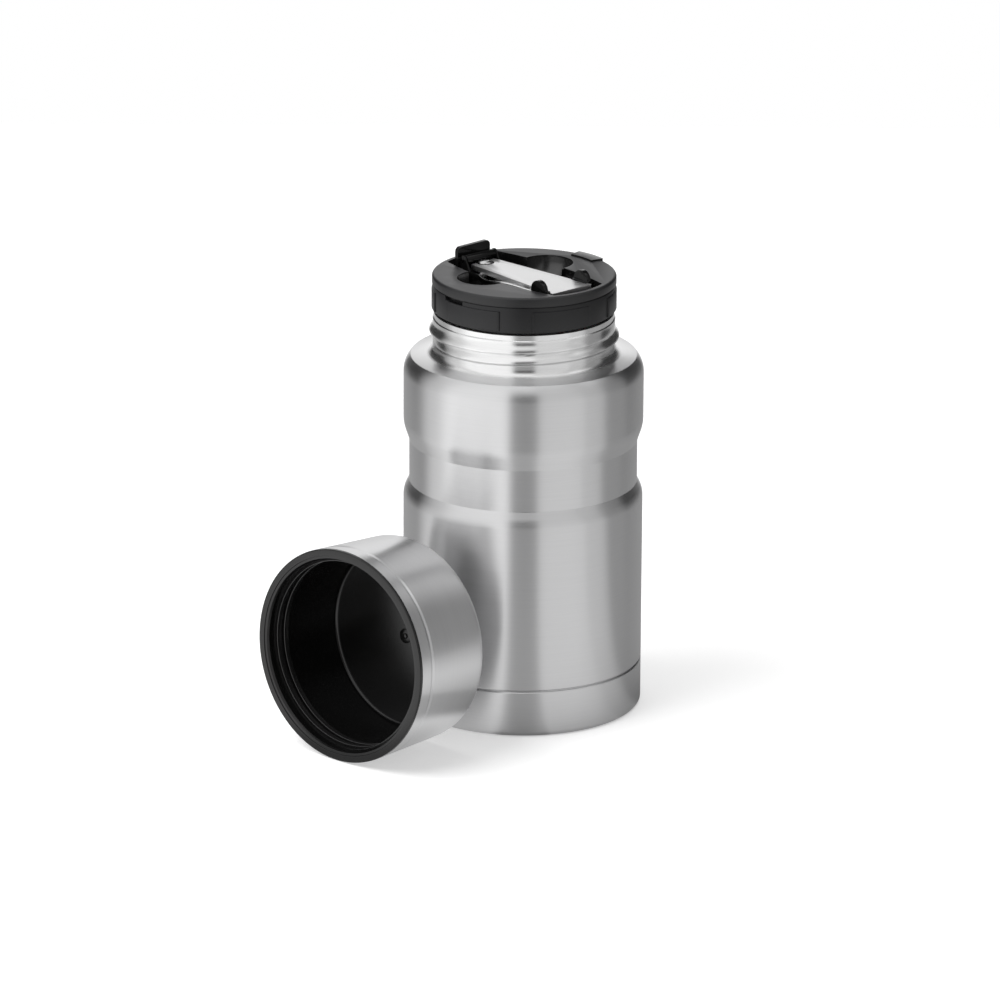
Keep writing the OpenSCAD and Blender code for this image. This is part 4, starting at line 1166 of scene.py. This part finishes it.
# %% The white table
TABLE_GLOW, MIRROR_SHARE = 0.38, 0.88
FOOT_SHADE, OPEN_SHADE, SHADE_FROM, SHADE_TO = 0.42, 1.1, -0.01, 0.05
CAP_FOOT = 0.03
SHEET = [(-600, -400, 0), (700, -400, 0), (700, 900, 0), (-600, 900, 0)]
paper, tree, shader = new_finish("white_paper")
set_inputs(shader, Base_Color=(0.82, 0.82, 0.82, 1), Roughness=0.9, Specular_IOR_Level=0.1)
m = Maths(tree)
east, north, up = parts_of(tree, node_of(tree, "ShaderNodeNewGeometry").outputs["Position"])
camera_ray, mirror_ray = seen_by(tree)


def clear_of(x, y, radius):
    """Metres from a round foot on the table."""
    spot = vector_from(tree, m.subtract(east, x), m.subtract(north, y))
    far = node_of(tree, "ShaderNodeVectorMath", {0: spot}, operation="LENGTH")
    return m.subtract(far.outputs["Value"], radius)


free = m.minimum(clear_of(0, 0, JAR_R * MM), clear_of(CAP_PLACE[0] * MM, CAP_PLACE[1] * MM, CAP_FOOT))
shade = mixed(tree, step_up(tree, free, SHADE_FROM, SHADE_TO), FOOT_SHADE, OPEN_SHADE)
mirrored = m.multiply(room_level(tree, bearing_of(m, east, north), -60.0), shade)
strength = mixed(tree, mirror_ray, m.multiply(camera_ray, TABLE_GLOW), mirrored)
glow = node_of(tree, "ShaderNodeEmission", {"Strength": strength})
dim = node_of(tree, "ShaderNodeMixShader", {0: m.multiply(mirror_ray, MIRROR_SHARE), 1: shader.outputs[0]})
both = node_of(tree, "ShaderNodeAddShader", {0: dim.outputs[0], 1: glow.outputs[0]})
tree.links.new(both.outputs[0], tree.nodes["Material Output"].inputs["Surface"])
table = skin("white_table", SHEET, [(0, 1, 2, 3)], paper)
print("nodes in the paper:", len(tree.nodes))

# %% [markdown]
# ## The room
# The room is a world shader. The camera sees it white. Metal and plastic mirror the cards.
# All other light comes from it evenly and dimly, so that the lamps can shape the object.

# %% The room
EVEN_LIGHT = 0.36
room = bpy.data.worlds.new("studio")
bpy.context.scene.world = room
room.use_nodes = True
tree = room.node_tree
tree.nodes.clear()
m = Maths(tree)
east, north, up = parts_of(tree, node_of(tree, "ShaderNodeTexCoord").outputs["Generated"])
level = room_level(tree, bearing_of(m, east, north), m.degrees(m.arcsine(up)))
camera_ray, mirror_ray = seen_by(tree)
strength = mixed(tree, camera_ray, mixed(tree, mirror_ray, EVEN_LIGHT, level), 1.0)
sky = node_of(tree, "ShaderNodeBackground", {"Color": (1, 1, 1, 1), "Strength": strength})
node_of(tree, "ShaderNodeOutputWorld", {0: sky.outputs[0]})
print("nodes in the room:", len(tree.nodes))

# %% [markdown]
# Two soft lamps give the shape and the shadows: a large one high on the left, a little in
# front, and a weak one overhead. They are kept out of mirror rays, because the room
# already shows the windows of light there, and a lamp would be counted twice.

# %% Lamps
def softbox(name, place, aim, width, depth, power):
    lamp = bpy.data.lights.new(name, "AREA")
    lamp.shape, lamp.size, lamp.size_y, lamp.energy = "RECTANGLE", width, depth, power
    stand = shown(name, lamp)
    stand.location = place
    stand.rotation_euler = (Vector(aim) - Vector(place)).to_track_quat("-Z", "Y").to_euler()
    stand.visible_glossy = False
    print(name, "shines with", power, "watts")


softbox("left_window", (-0.95, -0.42, 1.35), (0, 0, 0.08), 1.3, 1.1, 21.5)
softbox("top_window", (0.1, 0.35, 1.6), (0, 0, 0.05), 1.2, 1.2, 9.0)
